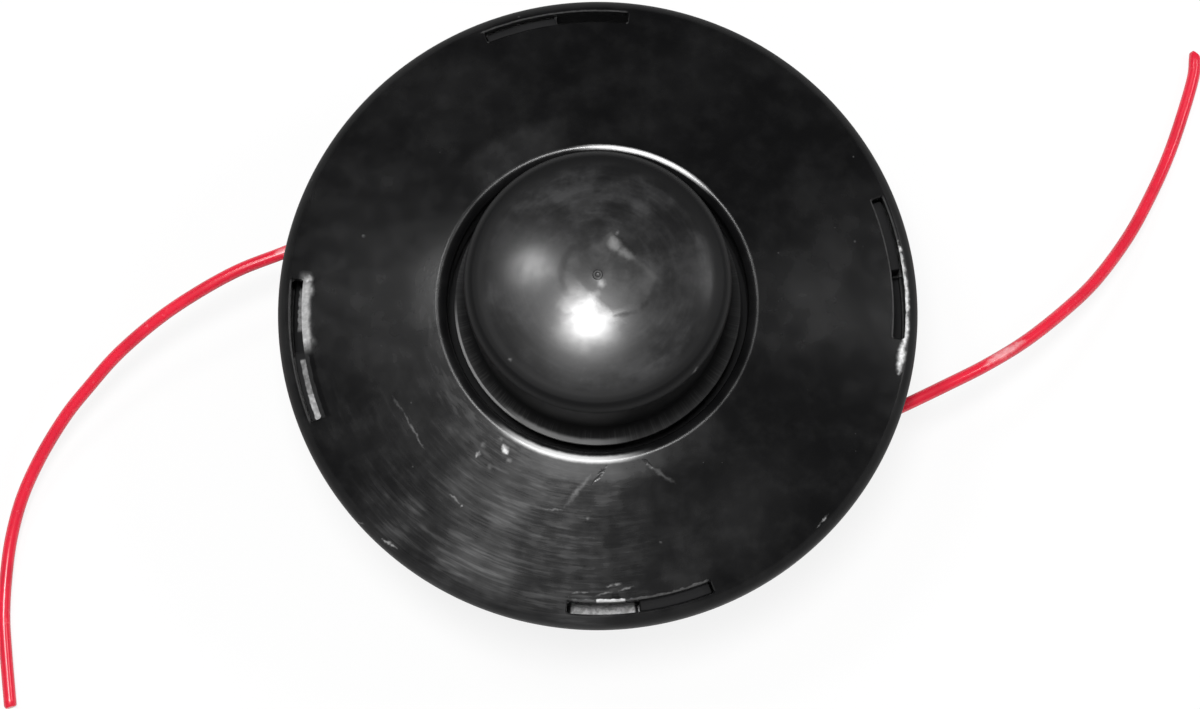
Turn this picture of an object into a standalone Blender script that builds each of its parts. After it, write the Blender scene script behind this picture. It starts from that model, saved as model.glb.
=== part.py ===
"""Tap-and-go trimmer head with its two line tails, lying on its mounting face with the knob up.

Units are metres, with +Z up. The origin is the centre of the hub's mounting face, which the gearbox
flange meets. Pressing the knob moves the spool down against the spring, which frees the spool's
upper teeth from the cover's cams and brings its lower teeth between the housing's cams.
"""

import math

import bmesh
import bpy
from mathutils import Matrix, Vector

MM = 0.001

# Facets round a full circle
COVER_STEPS = 56
HOUSING_STEPS = 40
SPOOL_STEPS = 36
COIL_STEPS = 28
SMALL_STEPS = 20
EYELET_STEPS = 16
NOTCH_STEPS = 10
SPRING_STEPS = 11

# Making of the meshes
MERGE_DISTANCE = 0.01 * MM
WELD_DISTANCE = 0.001 * MM
ROUTE_SAMPLES = 12
SHARP_DEGREES = 32.0

# Clearances, the depth by which joined shapes run into each other, and how far a cutter goes past a face
SEAT_GAP = 0.3 * MM
RUNNING_GAP = 0.5 * MM
BLEND = 0.4 * MM
CUT_PAST = 2.0 * MM

# Line
LINE_DIAMETER = 2.7 * MM
LINE_ROWS = 4
LINE_LAYERS = 3
COIL_RIDGE = 0.81 * MM
RUN_OFF_INSET = 1.0 * MM
RUN_OFF_CLEARS = 0.9 * MM
LOWER_RUN_OFF_DEGREES = 157.0
LOWER_RUN_OFF_DROP = 0.8 * MM
UPPER_RUN_OFF_DEGREES = 336.5
UPPER_RUN_OFF_RISE = 1.4 * MM

# Housing
HUB_RADIUS = 17.0 * MM
HUB_DEPTH = 4.0 * MM
OUTER_RING_INSET = 10.5 * MM
OUTER_RING_WALL = 2.5 * MM
HOUSING_WALL = 2.5 * MM
HOUSING_RADIUS = 59.5 * MM
HOUSING_CORNER = 5.0 * MM
SHOULDER_STANDS = 3.1 * MM
SHOULDER_HEIGHT = 1.6 * MM
TUBE_BORE = 8.3 * MM
TUBE_WALL = 3.2 * MM
TUBE_PAST_SPOOL = 8.0 * MM
INSERT_ROOM = 26.0 * MM
TUBE_WEB = 2.5 * MM
RIB_COUNT = 12
RIB_WIDTH = 1.8 * MM
RIB_RECESS = 0.8 * MM

# Threaded insert for the gearbox shaft
THREAD_BORE = 4.4 * MM
THREAD_CHAMFER = 1.0 * MM
HEXAGON_LIP = 0.7 * MM
HEXAGON_HEIGHT = 2.7 * MM

# Eyelets, on a radius through the wall
EYELET_DEGREES = (161.0, 341.0)
EYELET_BELOW_MIDDLE = 1.5 * MM
EYELET_ROOM = 2.05 * MM
EYELET_FLARE = 2.0 * MM
EYELET_THROAT_LENGTH = 1.2 * MM
EYELET_LIP = 1.1 * MM
EYELET_FLANGE = 1.3 * MM
BOSS_MARGIN = 1.2 * MM
BOSS_STANDS = 0.9 * MM
BOSS_IN_WALL = 0.75

# Ratchet between the spool and the housing or cover
TOOTH_COUNT = 6
TOOTH_START_DEGREES = 2.0
TOOTH_DEGREES = 10.0
TOOTH_GAP_DEGREES = 1.0
HOUSING_CAM_HEIGHT = 5.0 * MM
HOUSING_CAM_WIDTH = 4.5 * MM
HOUSING_CAM_CLEARS = 0.6 * MM
REST_GAP = 1.6 * MM
LOWER_TOOTH_HEIGHT = 4.4 * MM
UPPER_TOOTH_HEIGHT = 3.7 * MM
UPPER_TOOTH_WIDTH = 5.9 * MM

# Spool
FLANGE_CLEARS = 2.2 * MM
MIDDLE_FLANGE_INSET = 6.8 * MM
FLANGE = 2.0 * MM
CORE_WALL = 2.2 * MM
SPOOL_PLATE = 2.5 * MM
PLATE_BELOW_TOP = 3.9 * MM
KNOB_RING_INSET = 0.4 * MM
KNOB_RING_WALL = 2.2 * MM
KNOB_RING_HEIGHT = 14.0 * MM
SNAP_DEPTH = 0.6 * MM
SNAP_WIDTH = 1.6 * MM
SNAP_HEIGHT = 8.4 * MM
NOTCH_ROOM = 0.35 * MM
FOLD_SLOT_DEGREES = 75.0
FOLD_SLOT_ROOM = 0.27 * MM

# Spring and its washers
WIRE_DIAMETER = 1.8 * MM
SPRING_CLEARS_TUBE = 2.3 * MM
SPRING_ACTIVE_TURNS = 4
END_TURN_GAP = 0.3 * MM
WASHER = 1.0 * MM
WASHER_MARGIN = 2.6 * MM

# Cover
COVER_WALL = 2.5 * MM
COVER_HEADROOM = 2.1 * MM
RIM_FILLET = 2.7 * MM
SKIRT_HEIGHT = 8.8 * MM
SKIRT_DRAFT = 0.9 * MM
SKIRT_WALL = 2.3 * MM
KNOB_CLEARS_HOLE = 3.4 * MM
LIP_ROUNDING = 2.2 * MM
CONE_RISE = 6.5 * MM
COLLAR_WALL = 2.3 * MM
COLLAR_CLEARS = 2.1 * MM

# Slots in the cover, with a hook of the housing over a ledge of the cover in each
SLOT_COUNT = 4
SLOT_CLEARS_WALL = 0.5 * MM
SLOT_WIDTH = 2.4 * MM
SLOT_START_DEGREES = -5.8
HOOK_START_DEGREES = 7.7
SLOT_END_DEGREES = 22.0
HOOK_GAP_DEGREES = 0.3
LEDGE_HEIGHT = 3.0 * MM

# Knob
KNOB_TOP_RISE = 37.8 * MM
DOME_OVERHANG = 0.8 * MM
DOME_CROWN = 3.6 * MM
DOME_ROUNDING = 3.0 * MM
KNOB_WALL = 3.0 * MM
KNOB_SKIRT = 1.4 * MM
KNOB_SKIRT_EDGE = 0.1 * MM
KNOB_SKIRT_BELOW_LIP = 1.5 * MM
KNOB_FLARE = 3.2 * MM
KNOB_NECK_WALL = 1.9 * MM
KNOB_FOOT_WALL = 3.3 * MM

# Radii that follow, from the shaft outward to the upper teeth
TUBE_RADIUS = TUBE_BORE + TUBE_WALL
HEXAGON_FLAT_RADIUS = TUBE_BORE + HEXAGON_LIP
SPRING_RADIUS = TUBE_RADIUS + SPRING_CLEARS_TUBE + WIRE_DIAMETER / 2
WASHER_RADIUS = SPRING_RADIUS + WIRE_DIAMETER / 2 + WASHER_MARGIN
HOUSING_CAM_IN = WASHER_RADIUS + HOUSING_CAM_CLEARS
CORE_IN = HOUSING_CAM_IN + HOUSING_CAM_WIDTH + RUNNING_GAP
CORE_RADIUS = CORE_IN + CORE_WALL
COIL_IN = CORE_RADIUS + SEAT_GAP
COIL_OUT = COIL_IN + LINE_LAYERS * LINE_DIAMETER
KNOB_RING_RADIUS = CORE_IN - KNOB_RING_INSET
KNOB_IN = KNOB_RING_RADIUS + SEAT_GAP
KNOB_NECK_RADIUS = KNOB_IN + KNOB_NECK_WALL
KNOB_FOOT_RADIUS = KNOB_IN + KNOB_FOOT_WALL
KNOB_SKIRT_RADIUS = KNOB_NECK_RADIUS + KNOB_FLARE + KNOB_SKIRT_EDGE
DOME_EDGE_RADIUS = KNOB_NECK_RADIUS + DOME_OVERHANG
HOLE_RADIUS = KNOB_SKIRT_RADIUS + KNOB_CLEARS_HOLE
LIP_CENTRE_RADIUS = HOLE_RADIUS + LIP_ROUNDING
COLLAR_OUT = HOLE_RADIUS + COLLAR_WALL
UPPER_TOOTH_IN = COLLAR_OUT + RUNNING_GAP
UPPER_TOOTH_OUT = UPPER_TOOTH_IN + UPPER_TOOTH_WIDTH

# Radii that follow from the housing's wall, inward to the flanges and outward to the rim
WALL_IN = HOUSING_RADIUS - HOUSING_WALL
FLANGE_RADIUS = WALL_IN - FLANGE_CLEARS
MIDDLE_FLANGE_RADIUS = FLANGE_RADIUS - MIDDLE_FLANGE_INSET
RUN_OFF_RADIUS = FLANGE_RADIUS - RUN_OFF_INSET
OUTER_RING_OUT = HOUSING_RADIUS - HOUSING_CORNER - OUTER_RING_INSET
OUTER_RING_IN = OUTER_RING_OUT - OUTER_RING_WALL
SHOULDER_RADIUS = HOUSING_RADIUS + SHOULDER_STANDS
SLOT_IN = HOUSING_RADIUS + SLOT_CLEARS_WALL
SLOT_OUT = SLOT_IN + SLOT_WIDTH
SKIRT_IN = SLOT_OUT + SEAT_GAP
HEAD_RADIUS = SKIRT_IN + SKIRT_WALL
RIM_CENTRE_RADIUS = HEAD_RADIUS - RIM_FILLET

# Radii that follow from the line
EYELET_THROAT = LINE_DIAMETER / 2 + EYELET_ROOM
EYELET_SLEEVE_RADIUS = EYELET_THROAT + EYELET_FLARE + 2 * SEAT_GAP
EYELET_FLANGE_RADIUS = EYELET_SLEEVE_RADIUS + EYELET_LIP
NOTCH_RADIUS = LINE_DIAMETER / 2 + NOTCH_ROOM

# Heights that follow from the stack of pieces
BASE_Z = HUB_DEPTH
FLOOR_Z = BASE_Z + HOUSING_WALL
SPOOL_Z = FLOOR_Z + HOUSING_CAM_HEIGHT + REST_GAP
CHAMBER = LINE_ROWS * LINE_DIAMETER + 2 * SEAT_GAP
LOWER_CHAMBER_Z = SPOOL_Z + FLANGE
MIDDLE_FLANGE_Z = LOWER_CHAMBER_Z + CHAMBER
UPPER_CHAMBER_Z = MIDDLE_FLANGE_Z + FLANGE
TOP_FLANGE_Z = UPPER_CHAMBER_Z + CHAMBER
EYELET_HEIGHT = MIDDLE_FLANGE_Z + FLANGE / 2 - EYELET_BELOW_MIDDLE
SPOOL_TOP_Z = TOP_FLANGE_Z + FLANGE
PLATE_TOP_Z = SPOOL_TOP_Z - PLATE_BELOW_TOP
PLATE_UNDER_Z = PLATE_TOP_Z - SPOOL_PLATE
TUBE_TOP_Z = PLATE_TOP_Z + TUBE_PAST_SPOOL
LOWER_RUN_OFF_Z = EYELET_HEIGHT - LOWER_RUN_OFF_DROP
UPPER_RUN_OFF_Z = EYELET_HEIGHT + UPPER_RUN_OFF_RISE
PLATE_EDGE_Z = SPOOL_TOP_Z + COVER_HEADROOM + COVER_WALL
RIM_Z = PLATE_EDGE_Z - RIM_FILLET
SKIRT_Z = RIM_Z - SKIRT_HEIGHT
LIP_Z = PLATE_EDGE_Z + CONE_RISE
CONE_SLOPE = CONE_RISE / (RIM_CENTRE_RADIUS - LIP_CENTRE_RADIUS)
WALL_TOP_Z = PLATE_EDGE_Z - COVER_WALL - 2 * SEAT_GAP
SHOULDER_Z = SKIRT_Z - SEAT_GAP
KNOB_TOP_Z = SPOOL_TOP_Z + KNOB_TOP_RISE
KNOB_FOOT_Z = SPOOL_TOP_Z + SEAT_GAP
SNAP_Z = SPOOL_TOP_Z + SNAP_HEIGHT

# Routes of the two tails in millimetres, from inside the eyelet to the tip, which lies on the ground
LEFT_ROUTE = [
    (-52.2, 20.6, 25.3), (-56.2, 19.3, 25.8), (-61.2, 17.7, 26.0), (-66.2, 15.8, 25.7),
    (-74.7, 12.6, 24.9), (-83.1, 8.3, 23.3), (-91.6, 3.1, 20.7), (-100.2, -3.6, 17.3),
    (-106.7, -10.2, 14.0), (-111.7, -15.9, 11.4), (-117.0, -23.8, 8.1), (-121.0, -31.9, 5.4),
    (-123.4, -40.2, 3.3), (-124.5, -48.5, 2.1), (-124.8, -56.9, 1.6), (-124.1, -65.4, 1.5),
    (-123.0, -75.5, 1.5),
]
RIGHT_ROUTE = [
    (52.3, -20.9, 26.8), (56.2, -19.3, 26.3), (60.0, -17.6, 25.9), (63.7, -15.9, 25.5),
    (72.1, -11.7, 24.7), (80.7, -7.0, 22.5), (89.5, -1.1, 19.1), (98.4, 6.5, 14.8),
    (105.3, 13.6, 11.1), (112.5, 23.5, 6.8), (117.8, 33.0, 3.8), (122.1, 42.2, 2.0),
    (125.4, 51.2, 1.5), (128.1, 60.1, 1.5), (128.6, 64.8, 1.5),
]
TAIL_POINT_SPACING = 2.4 * LINE_DIAMETER

PART = "trimmer_head"
CUTTERS = "cutters"


# Making, joining and cutting solids

def clear_scene():
    for obj in list(bpy.data.objects):
        bpy.data.objects.remove(obj, do_unlink=True)


def collection(name):
    found = bpy.data.collections.get(name)
    if found is None:
        found = bpy.data.collections.new(name)
        bpy.context.scene.collection.children.link(found)
    return found


def material(name, colour, roughness, metallic=0.0):
    made = bpy.data.materials.get(name) or bpy.data.materials.new(name)
    made.use_nodes = True
    shader = made.node_tree.nodes["Principled BSDF"]
    shader.inputs["Base Color"].default_value = (*colour, 1.0)
    shader.inputs["Roughness"].default_value = roughness
    shader.inputs["Metallic"].default_value = metallic
    return made


def add_object(name, data, finish=None):
    """Link a piece of the head, or a cutter when it has no finish."""
    obj = bpy.data.objects.new(name, data)
    if finish is None:
        obj.hide_render = True
        obj.display_type = "WIRE"
        collection(CUTTERS).objects.link(obj)
    else:
        data.materials.append(finish)
        collection(PART).objects.link(obj)
    return obj


def arc(centre_r, centre_z, radius, start_degrees, end_degrees, count):
    """Points of an arc in the profile plane, its two ends included."""
    points = []
    for i in range(count + 1):
        angle = math.radians(start_degrees + (end_degrees - start_degrees) * i / count)
        points.append((centre_r + radius * math.cos(angle), centre_z + radius * math.sin(angle)))
    return points


def turned(name, profile, finish=None, steps=SPOOL_STEPS, closed=True):
    """Turn a profile of (radius, height) points about Z. Its outer side runs from top to bottom."""
    mesh = bpy.data.meshes.new(name)
    edges = [(i, i + 1) for i in range(len(profile) - 1)]
    if closed:
        edges.append((len(profile) - 1, 0))
    mesh.from_pydata([(r, 0.0, z) for r, z in profile], edges, [])
    obj = add_object(name, mesh, finish)
    screw = obj.modifiers.new("turn", "SCREW")
    screw.steps = steps
    screw.render_steps = steps
    screw.use_merge_vertices = True
    screw.merge_threshold = MERGE_DISTANCE
    return obj


def sectors(name, count, radii, heights, degrees, steps=2):
    """A ring of equal blocks with arc-shaped sides, as one cutter object."""
    bm = bmesh.new()
    for i in range(count):
        turn = Matrix.Rotation(math.radians(degrees[0] + i * 360.0 / count), 4, "Z")
        inner, outer = radii
        low, high = heights
        corners = [(inner, low), (outer, low), (outer, high), (inner, high)]
        face = bm.faces.new([bm.verts.new(turn @ Vector((r, 0.0, z))) for r, z in corners])
        bmesh.ops.spin(
            bm,
            geom=[face, *face.edges, *face.verts],
            axis=(0.0, 0.0, 1.0),
            angle=math.radians(degrees[1] - degrees[0]),
            steps=steps,
        )
    bmesh.ops.recalc_face_normals(bm, faces=bm.faces)
    return from_bmesh(name, bm)


def from_bmesh(name, bm, finish=None):
    mesh = bpy.data.meshes.new(name)
    bm.to_mesh(mesh)
    bm.free()
    return add_object(name, mesh, finish)


def cylinder(name, radius, low, high, steps, place=None, finish=None):
    """A cylinder from low to high along Z, or along the Z of a placing matrix."""
    bm = bmesh.new()
    bmesh.ops.create_cone(
        bm, cap_ends=True, segments=steps, radius1=radius, radius2=radius, depth=high - low,
        matrix=(place or Matrix()) @ Matrix.Translation((0.0, 0.0, (low + high) / 2)),
    )
    return from_bmesh(name, bm, finish)


def blocks(name, places, size):
    """Boxes of one size, one at each placing matrix, as one cutter object."""
    bm = bmesh.new()
    for place in places:
        bmesh.ops.create_cube(bm, size=1.0, matrix=place @ Matrix.Diagonal((*size, 1.0)))
    return from_bmesh(name, bm)


def boolean(obj, tool, operation):
    step = obj.modifiers.new(tool.name, "BOOLEAN")
    step.operation = operation
    step.solver = "EXACT"
    step.object = tool


def join(obj, tool):
    boolean(obj, tool, "UNION")


def cut(obj, tool):
    boolean(obj, tool, "DIFFERENCE")


def radial_place(degrees, height):
    """A frame at the axis whose Z points outward along a radius."""
    return (
        Matrix.Translation((0.0, 0.0, height))
        @ Matrix.Rotation(math.radians(degrees), 4, "Z")
        @ Matrix.Rotation(math.radians(90.0), 4, "Y")
    )


def cover_top_z(radius):
    """Height of the cover's conical top face."""
    return PLATE_EDGE_Z + (RIM_CENTRE_RADIUS - radius) * CONE_SLOPE


def tube_curve(name, points, diameter, finish, sides_resolution=2):
    curve = bpy.data.curves.new(name, "CURVE")
    curve.dimensions = "3D"
    curve.bevel_depth = diameter / 2
    curve.bevel_resolution = sides_resolution
    curve.use_fill_caps = True
    spline = curve.splines.new("POLY")
    spline.points.add(len(points) - 1)
    for target, point in zip(spline.points, points):
        target.co = (*point, 1.0)
    return add_object(name, curve, finish)


def curve_to_mesh(obj):
    """Replace a curve object by a closed mesh object of the same shape."""
    evaluated = obj.evaluated_get(bpy.context.evaluated_depsgraph_get())
    mesh = bpy.data.meshes.new_from_object(evaluated)
    bm = bmesh.new()
    bm.from_mesh(mesh)
    bmesh.ops.remove_doubles(bm, verts=bm.verts, dist=WELD_DISTANCE)
    bmesh.ops.recalc_face_normals(bm, faces=bm.faces)
    bm.to_mesh(mesh)
    bm.free()
    name, place = obj.name, obj.matrix_world.copy()
    bpy.data.objects.remove(obj, do_unlink=True)
    made = add_object(name, mesh)
    made.matrix_world = place
    return made


def smooth_route(route, spacing):
    """Points at even spacing along a smooth curve through the route's points."""
    knots = [Vector(p) * MM for p in route]
    ends = [knots[0] * 2 - knots[1], *knots, knots[-1] * 2 - knots[-2]]
    fine = []
    for a, b, c, d in zip(ends, ends[1:], ends[2:], ends[3:]):
        for i in range(ROUTE_SAMPLES):
            t = i / ROUTE_SAMPLES
            fine.append(0.5 * (2 * b + (c - a) * t + (2 * a - 5 * b + 4 * c - d) * t**2
                               + (3 * b - a - 3 * c + d) * t**3))
    fine.append(knots[-1])
    along = [0.0]
    for a, b in zip(fine, fine[1:]):
        along.append(along[-1] + (b - a).length)
    count = max(2, round(along[-1] / spacing))
    points, j = [], 0
    for i in range(count + 1):
        target = along[-1] * i / count
        while j < len(fine) - 2 and along[j + 1] < target:
            j += 1
        share = (target - along[j]) / (along[j + 1] - along[j])
        points.append(fine[j].lerp(fine[j + 1], min(share, 1.0)))
    return points


# Housing side

def make_housing(finish):
    corner_r = HOUSING_RADIUS - HOUSING_CORNER
    corner_in = HOUSING_CORNER - HOUSING_WALL
    profile = [
        (0.0, INSERT_ROOM + TUBE_WEB),
        (TUBE_BORE, INSERT_ROOM + TUBE_WEB),
        (TUBE_BORE, TUBE_TOP_Z),
        (TUBE_RADIUS, TUBE_TOP_Z),
        (TUBE_RADIUS, FLOOR_Z),
        (WALL_IN - corner_in, FLOOR_Z),
        (WALL_IN, FLOOR_Z + corner_in),
        (WALL_IN, WALL_TOP_Z),
        (HOUSING_RADIUS, WALL_TOP_Z),
        (HOUSING_RADIUS, SHOULDER_Z),
        (SHOULDER_RADIUS, SHOULDER_Z),
        (SHOULDER_RADIUS, SHOULDER_Z - SHOULDER_HEIGHT),
        (HOUSING_RADIUS, SHOULDER_Z - SHOULDER_HEIGHT - SHOULDER_STANDS / 2),
        *arc(corner_r, BASE_Z + HOUSING_CORNER, HOUSING_CORNER, 0.0, -90.0, 2),
        (OUTER_RING_OUT, BASE_Z),
        (OUTER_RING_OUT, 0.0),
        (OUTER_RING_IN, 0.0),
        (OUTER_RING_IN, BASE_Z),
        (HUB_RADIUS, BASE_Z),
        (HUB_RADIUS, 0.0),
        (TUBE_BORE, 0.0),
        (TUBE_BORE, INSERT_ROOM),
        (0.0, INSERT_ROOM),
    ]
    housing = turned("housing", profile, finish, HOUSING_STEPS, closed=False)

    rib_in = HUB_RADIUS - BLEND
    rib_out = OUTER_RING_IN + BLEND
    rib_top = BASE_Z + BLEND
    rib_places = []
    for i in range(RIB_COUNT):
        turn = Matrix.Rotation(math.radians((i + 0.5) * 360.0 / RIB_COUNT), 4, "Z")
        middle = Matrix.Translation(((rib_in + rib_out) / 2, 0.0, (RIB_RECESS + rib_top) / 2))
        rib_places.append(turn @ middle)
    join(housing, blocks("housing_ribs", rib_places, (rib_out - rib_in, RIB_WIDTH, rib_top - RIB_RECESS)))

    cam_start = TOOTH_START_DEGREES + 180.0 / TOOTH_COUNT + TOOTH_DEGREES + TOOTH_GAP_DEGREES
    cams = sectors(
        "housing_cams", TOOTH_COUNT, (HOUSING_CAM_IN, CORE_IN - RUNNING_GAP),
        (FLOOR_Z - BLEND, FLOOR_Z + HOUSING_CAM_HEIGHT), (cam_start, cam_start + TOOTH_DEGREES),
    )
    join(housing, cams)

    hook_top = cover_top_z(SLOT_IN) - COVER_WALL - SEAT_GAP
    hooks = sectors(
        "housing_hooks", SLOT_COUNT, (HOUSING_RADIUS - BLEND, SLOT_OUT - SEAT_GAP),
        (SKIRT_Z + LEDGE_HEIGHT + SEAT_GAP, hook_top),
        (HOOK_START_DEGREES + HOOK_GAP_DEGREES, SLOT_END_DEGREES - HOOK_GAP_DEGREES), 3,
    )
    join(housing, hooks)

    for degrees in EYELET_DEGREES:
        place = radial_place(degrees, EYELET_HEIGHT)
        boss = cylinder(
            f"eyelet_boss_{degrees:.0f}", EYELET_FLANGE_RADIUS + BOSS_MARGIN,
            HOUSING_RADIUS - BOSS_IN_WALL * HOUSING_WALL, HOUSING_RADIUS + BOSS_STANDS, SMALL_STEPS, place,
        )
        join(housing, boss)
    spot_face = HOUSING_RADIUS + BOSS_STANDS + SEAT_GAP / 2
    hole_profile = [
        (0.0, spot_face + 2 * CUT_PAST),
        (EYELET_FLANGE_RADIUS + SEAT_GAP, spot_face + 2 * CUT_PAST),
        (EYELET_FLANGE_RADIUS + SEAT_GAP, spot_face),
        (EYELET_SLEEVE_RADIUS + SEAT_GAP, spot_face),
        (EYELET_SLEEVE_RADIUS + SEAT_GAP, WALL_IN - 2 * CUT_PAST),
        (0.0, WALL_IN - 2 * CUT_PAST),
    ]
    for degrees in EYELET_DEGREES:
        hole = turned(f"eyelet_hole_{degrees:.0f}", hole_profile, steps=SMALL_STEPS, closed=False)
        hole.matrix_world = radial_place(degrees, EYELET_HEIGHT)
        cut(housing, hole)

    pocket_radius = (HEXAGON_FLAT_RADIUS + SEAT_GAP) / math.cos(math.radians(30.0))
    pocket_depth = HEXAGON_HEIGHT + 2 * SEAT_GAP
    cut(housing, cylinder("hexagon_pocket", pocket_radius, -CUT_PAST, pocket_depth, 6))
    return housing


def make_arbor_insert(finish):
    head_radius = HEXAGON_FLAT_RADIUS / math.cos(math.radians(30.0))
    insert = cylinder("arbor_insert", head_radius, SEAT_GAP, SEAT_GAP + HEXAGON_HEIGHT, 6, finish=finish)
    barrel = cylinder(
        "insert_barrel", TUBE_BORE - SEAT_GAP, SEAT_GAP + HEXAGON_HEIGHT / 2, INSERT_ROOM - SEAT_GAP,
        SMALL_STEPS,
    )
    join(insert, barrel)
    mouth = SEAT_GAP + THREAD_CHAMFER
    bore = turned(
        "insert_bore",
        [
            (0.0, INSERT_ROOM + CUT_PAST),
            (THREAD_BORE, INSERT_ROOM + CUT_PAST),
            (THREAD_BORE, mouth),
            (THREAD_BORE + THREAD_CHAMFER + CUT_PAST, SEAT_GAP - CUT_PAST),
            (0.0, SEAT_GAP - CUT_PAST),
        ],
        steps=SMALL_STEPS, closed=False,
    )
    cut(insert, bore)
    return insert


def make_eyelet(name, degrees, finish):
    """A flared bush. It is turned about Z and then laid along its radius."""
    seat = HOUSING_RADIUS + BOSS_STANDS + SEAT_GAP
    outer_end = seat + EYELET_FLANGE
    length = EYELET_THROAT_LENGTH + 2 * EYELET_FLARE
    inner_end = outer_end - length
    flare_r = EYELET_THROAT + EYELET_FLARE
    flare_high = arc(flare_r, outer_end - EYELET_FLARE, EYELET_FLARE, 180.0, 90.0, 2)
    flare_low = arc(flare_r, inner_end + EYELET_FLARE, EYELET_FLARE, 270.0, 180.0, 2)
    profile = [
        *flare_high,
        (EYELET_FLANGE_RADIUS, outer_end),
        (EYELET_FLANGE_RADIUS, seat),
        (EYELET_SLEEVE_RADIUS, seat),
        (EYELET_SLEEVE_RADIUS, inner_end),
        *flare_low,
    ]
    eyelet = turned(name, profile, finish, EYELET_STEPS)
    eyelet.matrix_world = radial_place(degrees, EYELET_HEIGHT)
    return eyelet


def make_washer(name, low, finish):
    profile = [
        (TUBE_RADIUS + RUNNING_GAP, low + WASHER),
        (WASHER_RADIUS, low + WASHER),
        (WASHER_RADIUS, low),
        (TUBE_RADIUS + RUNNING_GAP, low),
    ]
    return turned(name, profile, finish, SMALL_STEPS)


def make_spring(finish):
    """A compression spring whose two end turns are closed."""
    low = FLOOR_Z + WASHER + 2 * SEAT_GAP + WIRE_DIAMETER / 2
    high = PLATE_UNDER_Z - WASHER - 2 * SEAT_GAP - WIRE_DIAMETER / 2
    end_rise = WIRE_DIAMETER + END_TURN_GAP
    active_pitch = (high - low - 2 * end_rise) / SPRING_ACTIVE_TURNS
    turns = SPRING_ACTIVE_TURNS + 2
    points = []
    for i in range(turns * SPRING_STEPS + 1):
        turn = i / SPRING_STEPS
        rise = end_rise * min(turn, 1.0)
        rise += active_pitch * min(max(turn - 1.0, 0.0), SPRING_ACTIVE_TURNS)
        rise += end_rise * max(turn - turns + 1, 0.0)
        angle = turn * math.tau
        points.append((SPRING_RADIUS * math.cos(angle), SPRING_RADIUS * math.sin(angle), low + rise))
    return tube_curve("spring", points, WIRE_DIAMETER, finish, 1)


# Spool side

def make_spool(finish):
    ring_in = KNOB_RING_RADIUS - KNOB_RING_WALL
    ring_top = SPOOL_TOP_Z + KNOB_RING_HEIGHT
    snap_r = KNOB_RING_RADIUS - SNAP_DEPTH

    def flange_edge(radius, low):
        return [(radius, low + FLANGE), (radius, low)]

    profile = [
        (ring_in, ring_top),
        (KNOB_RING_RADIUS - BLEND, ring_top),
        (KNOB_RING_RADIUS, ring_top - 2 * BLEND),
        (KNOB_RING_RADIUS, SNAP_Z + SNAP_WIDTH / 2 + SNAP_DEPTH),
        (snap_r, SNAP_Z + SNAP_WIDTH / 2),
        (snap_r, SNAP_Z - SNAP_WIDTH / 2),
        (KNOB_RING_RADIUS, SNAP_Z - SNAP_WIDTH / 2 - SNAP_DEPTH),
        (KNOB_RING_RADIUS, SPOOL_TOP_Z),
        *flange_edge(FLANGE_RADIUS, TOP_FLANGE_Z),
        (CORE_RADIUS, TOP_FLANGE_Z),
        (CORE_RADIUS, UPPER_CHAMBER_Z),
        *flange_edge(MIDDLE_FLANGE_RADIUS, MIDDLE_FLANGE_Z),
        (CORE_RADIUS, MIDDLE_FLANGE_Z),
        (CORE_RADIUS, LOWER_CHAMBER_Z),
        *flange_edge(FLANGE_RADIUS, SPOOL_Z),
        (CORE_IN, SPOOL_Z),
        (CORE_IN, PLATE_UNDER_Z),
        (TUBE_RADIUS + RUNNING_GAP, PLATE_UNDER_Z),
        (TUBE_RADIUS + RUNNING_GAP, PLATE_TOP_Z),
        (ring_in, PLATE_TOP_Z),
    ]
    spool = turned("spool", profile, finish)

    tooth = (TOOTH_START_DEGREES, TOOTH_START_DEGREES + TOOTH_DEGREES)
    lower = sectors(
        "spool_lower_teeth", TOOTH_COUNT, (HOUSING_CAM_IN, CORE_IN + BLEND),
        (SPOOL_Z, SPOOL_Z + LOWER_TOOTH_HEIGHT), tooth,
    )
    upper = sectors(
        "spool_upper_teeth", TOOTH_COUNT, (UPPER_TOOTH_IN, UPPER_TOOTH_OUT),
        (SPOOL_TOP_Z - BLEND, SPOOL_TOP_Z + UPPER_TOOTH_HEIGHT), tooth,
    )
    join(spool, lower)
    join(spool, upper)

    fold_slot = Matrix.Rotation(math.radians(FOLD_SLOT_DEGREES), 4, "Z") @ Matrix.Translation(
        (MIDDLE_FLANGE_RADIUS, 0.0, MIDDLE_FLANGE_Z + FLANGE / 2)
    )
    slot_length = 2 * (MIDDLE_FLANGE_RADIUS - COIL_OUT) - 2 * LINE_DIAMETER
    slot_width = LINE_DIAMETER + 2 * FOLD_SLOT_ROOM
    cut(spool, blocks("line_fold_slot", [fold_slot], (slot_length, slot_width, 2 * FLANGE)))

    for degrees in (LOWER_RUN_OFF_DEGREES - 90.0, LOWER_RUN_OFF_DEGREES + 90.0):
        angle = math.radians(degrees)
        place = Matrix.Translation((FLANGE_RADIUS * math.cos(angle), FLANGE_RADIUS * math.sin(angle), 0.0))
        notch = cylinder(
            f"parking_notch_{degrees:.0f}", NOTCH_RADIUS, SPOOL_Z - CUT_PAST, SPOOL_TOP_Z + CUT_PAST,
            NOTCH_STEPS, place,
        )
        cut(spool, notch)
    return spool


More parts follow.
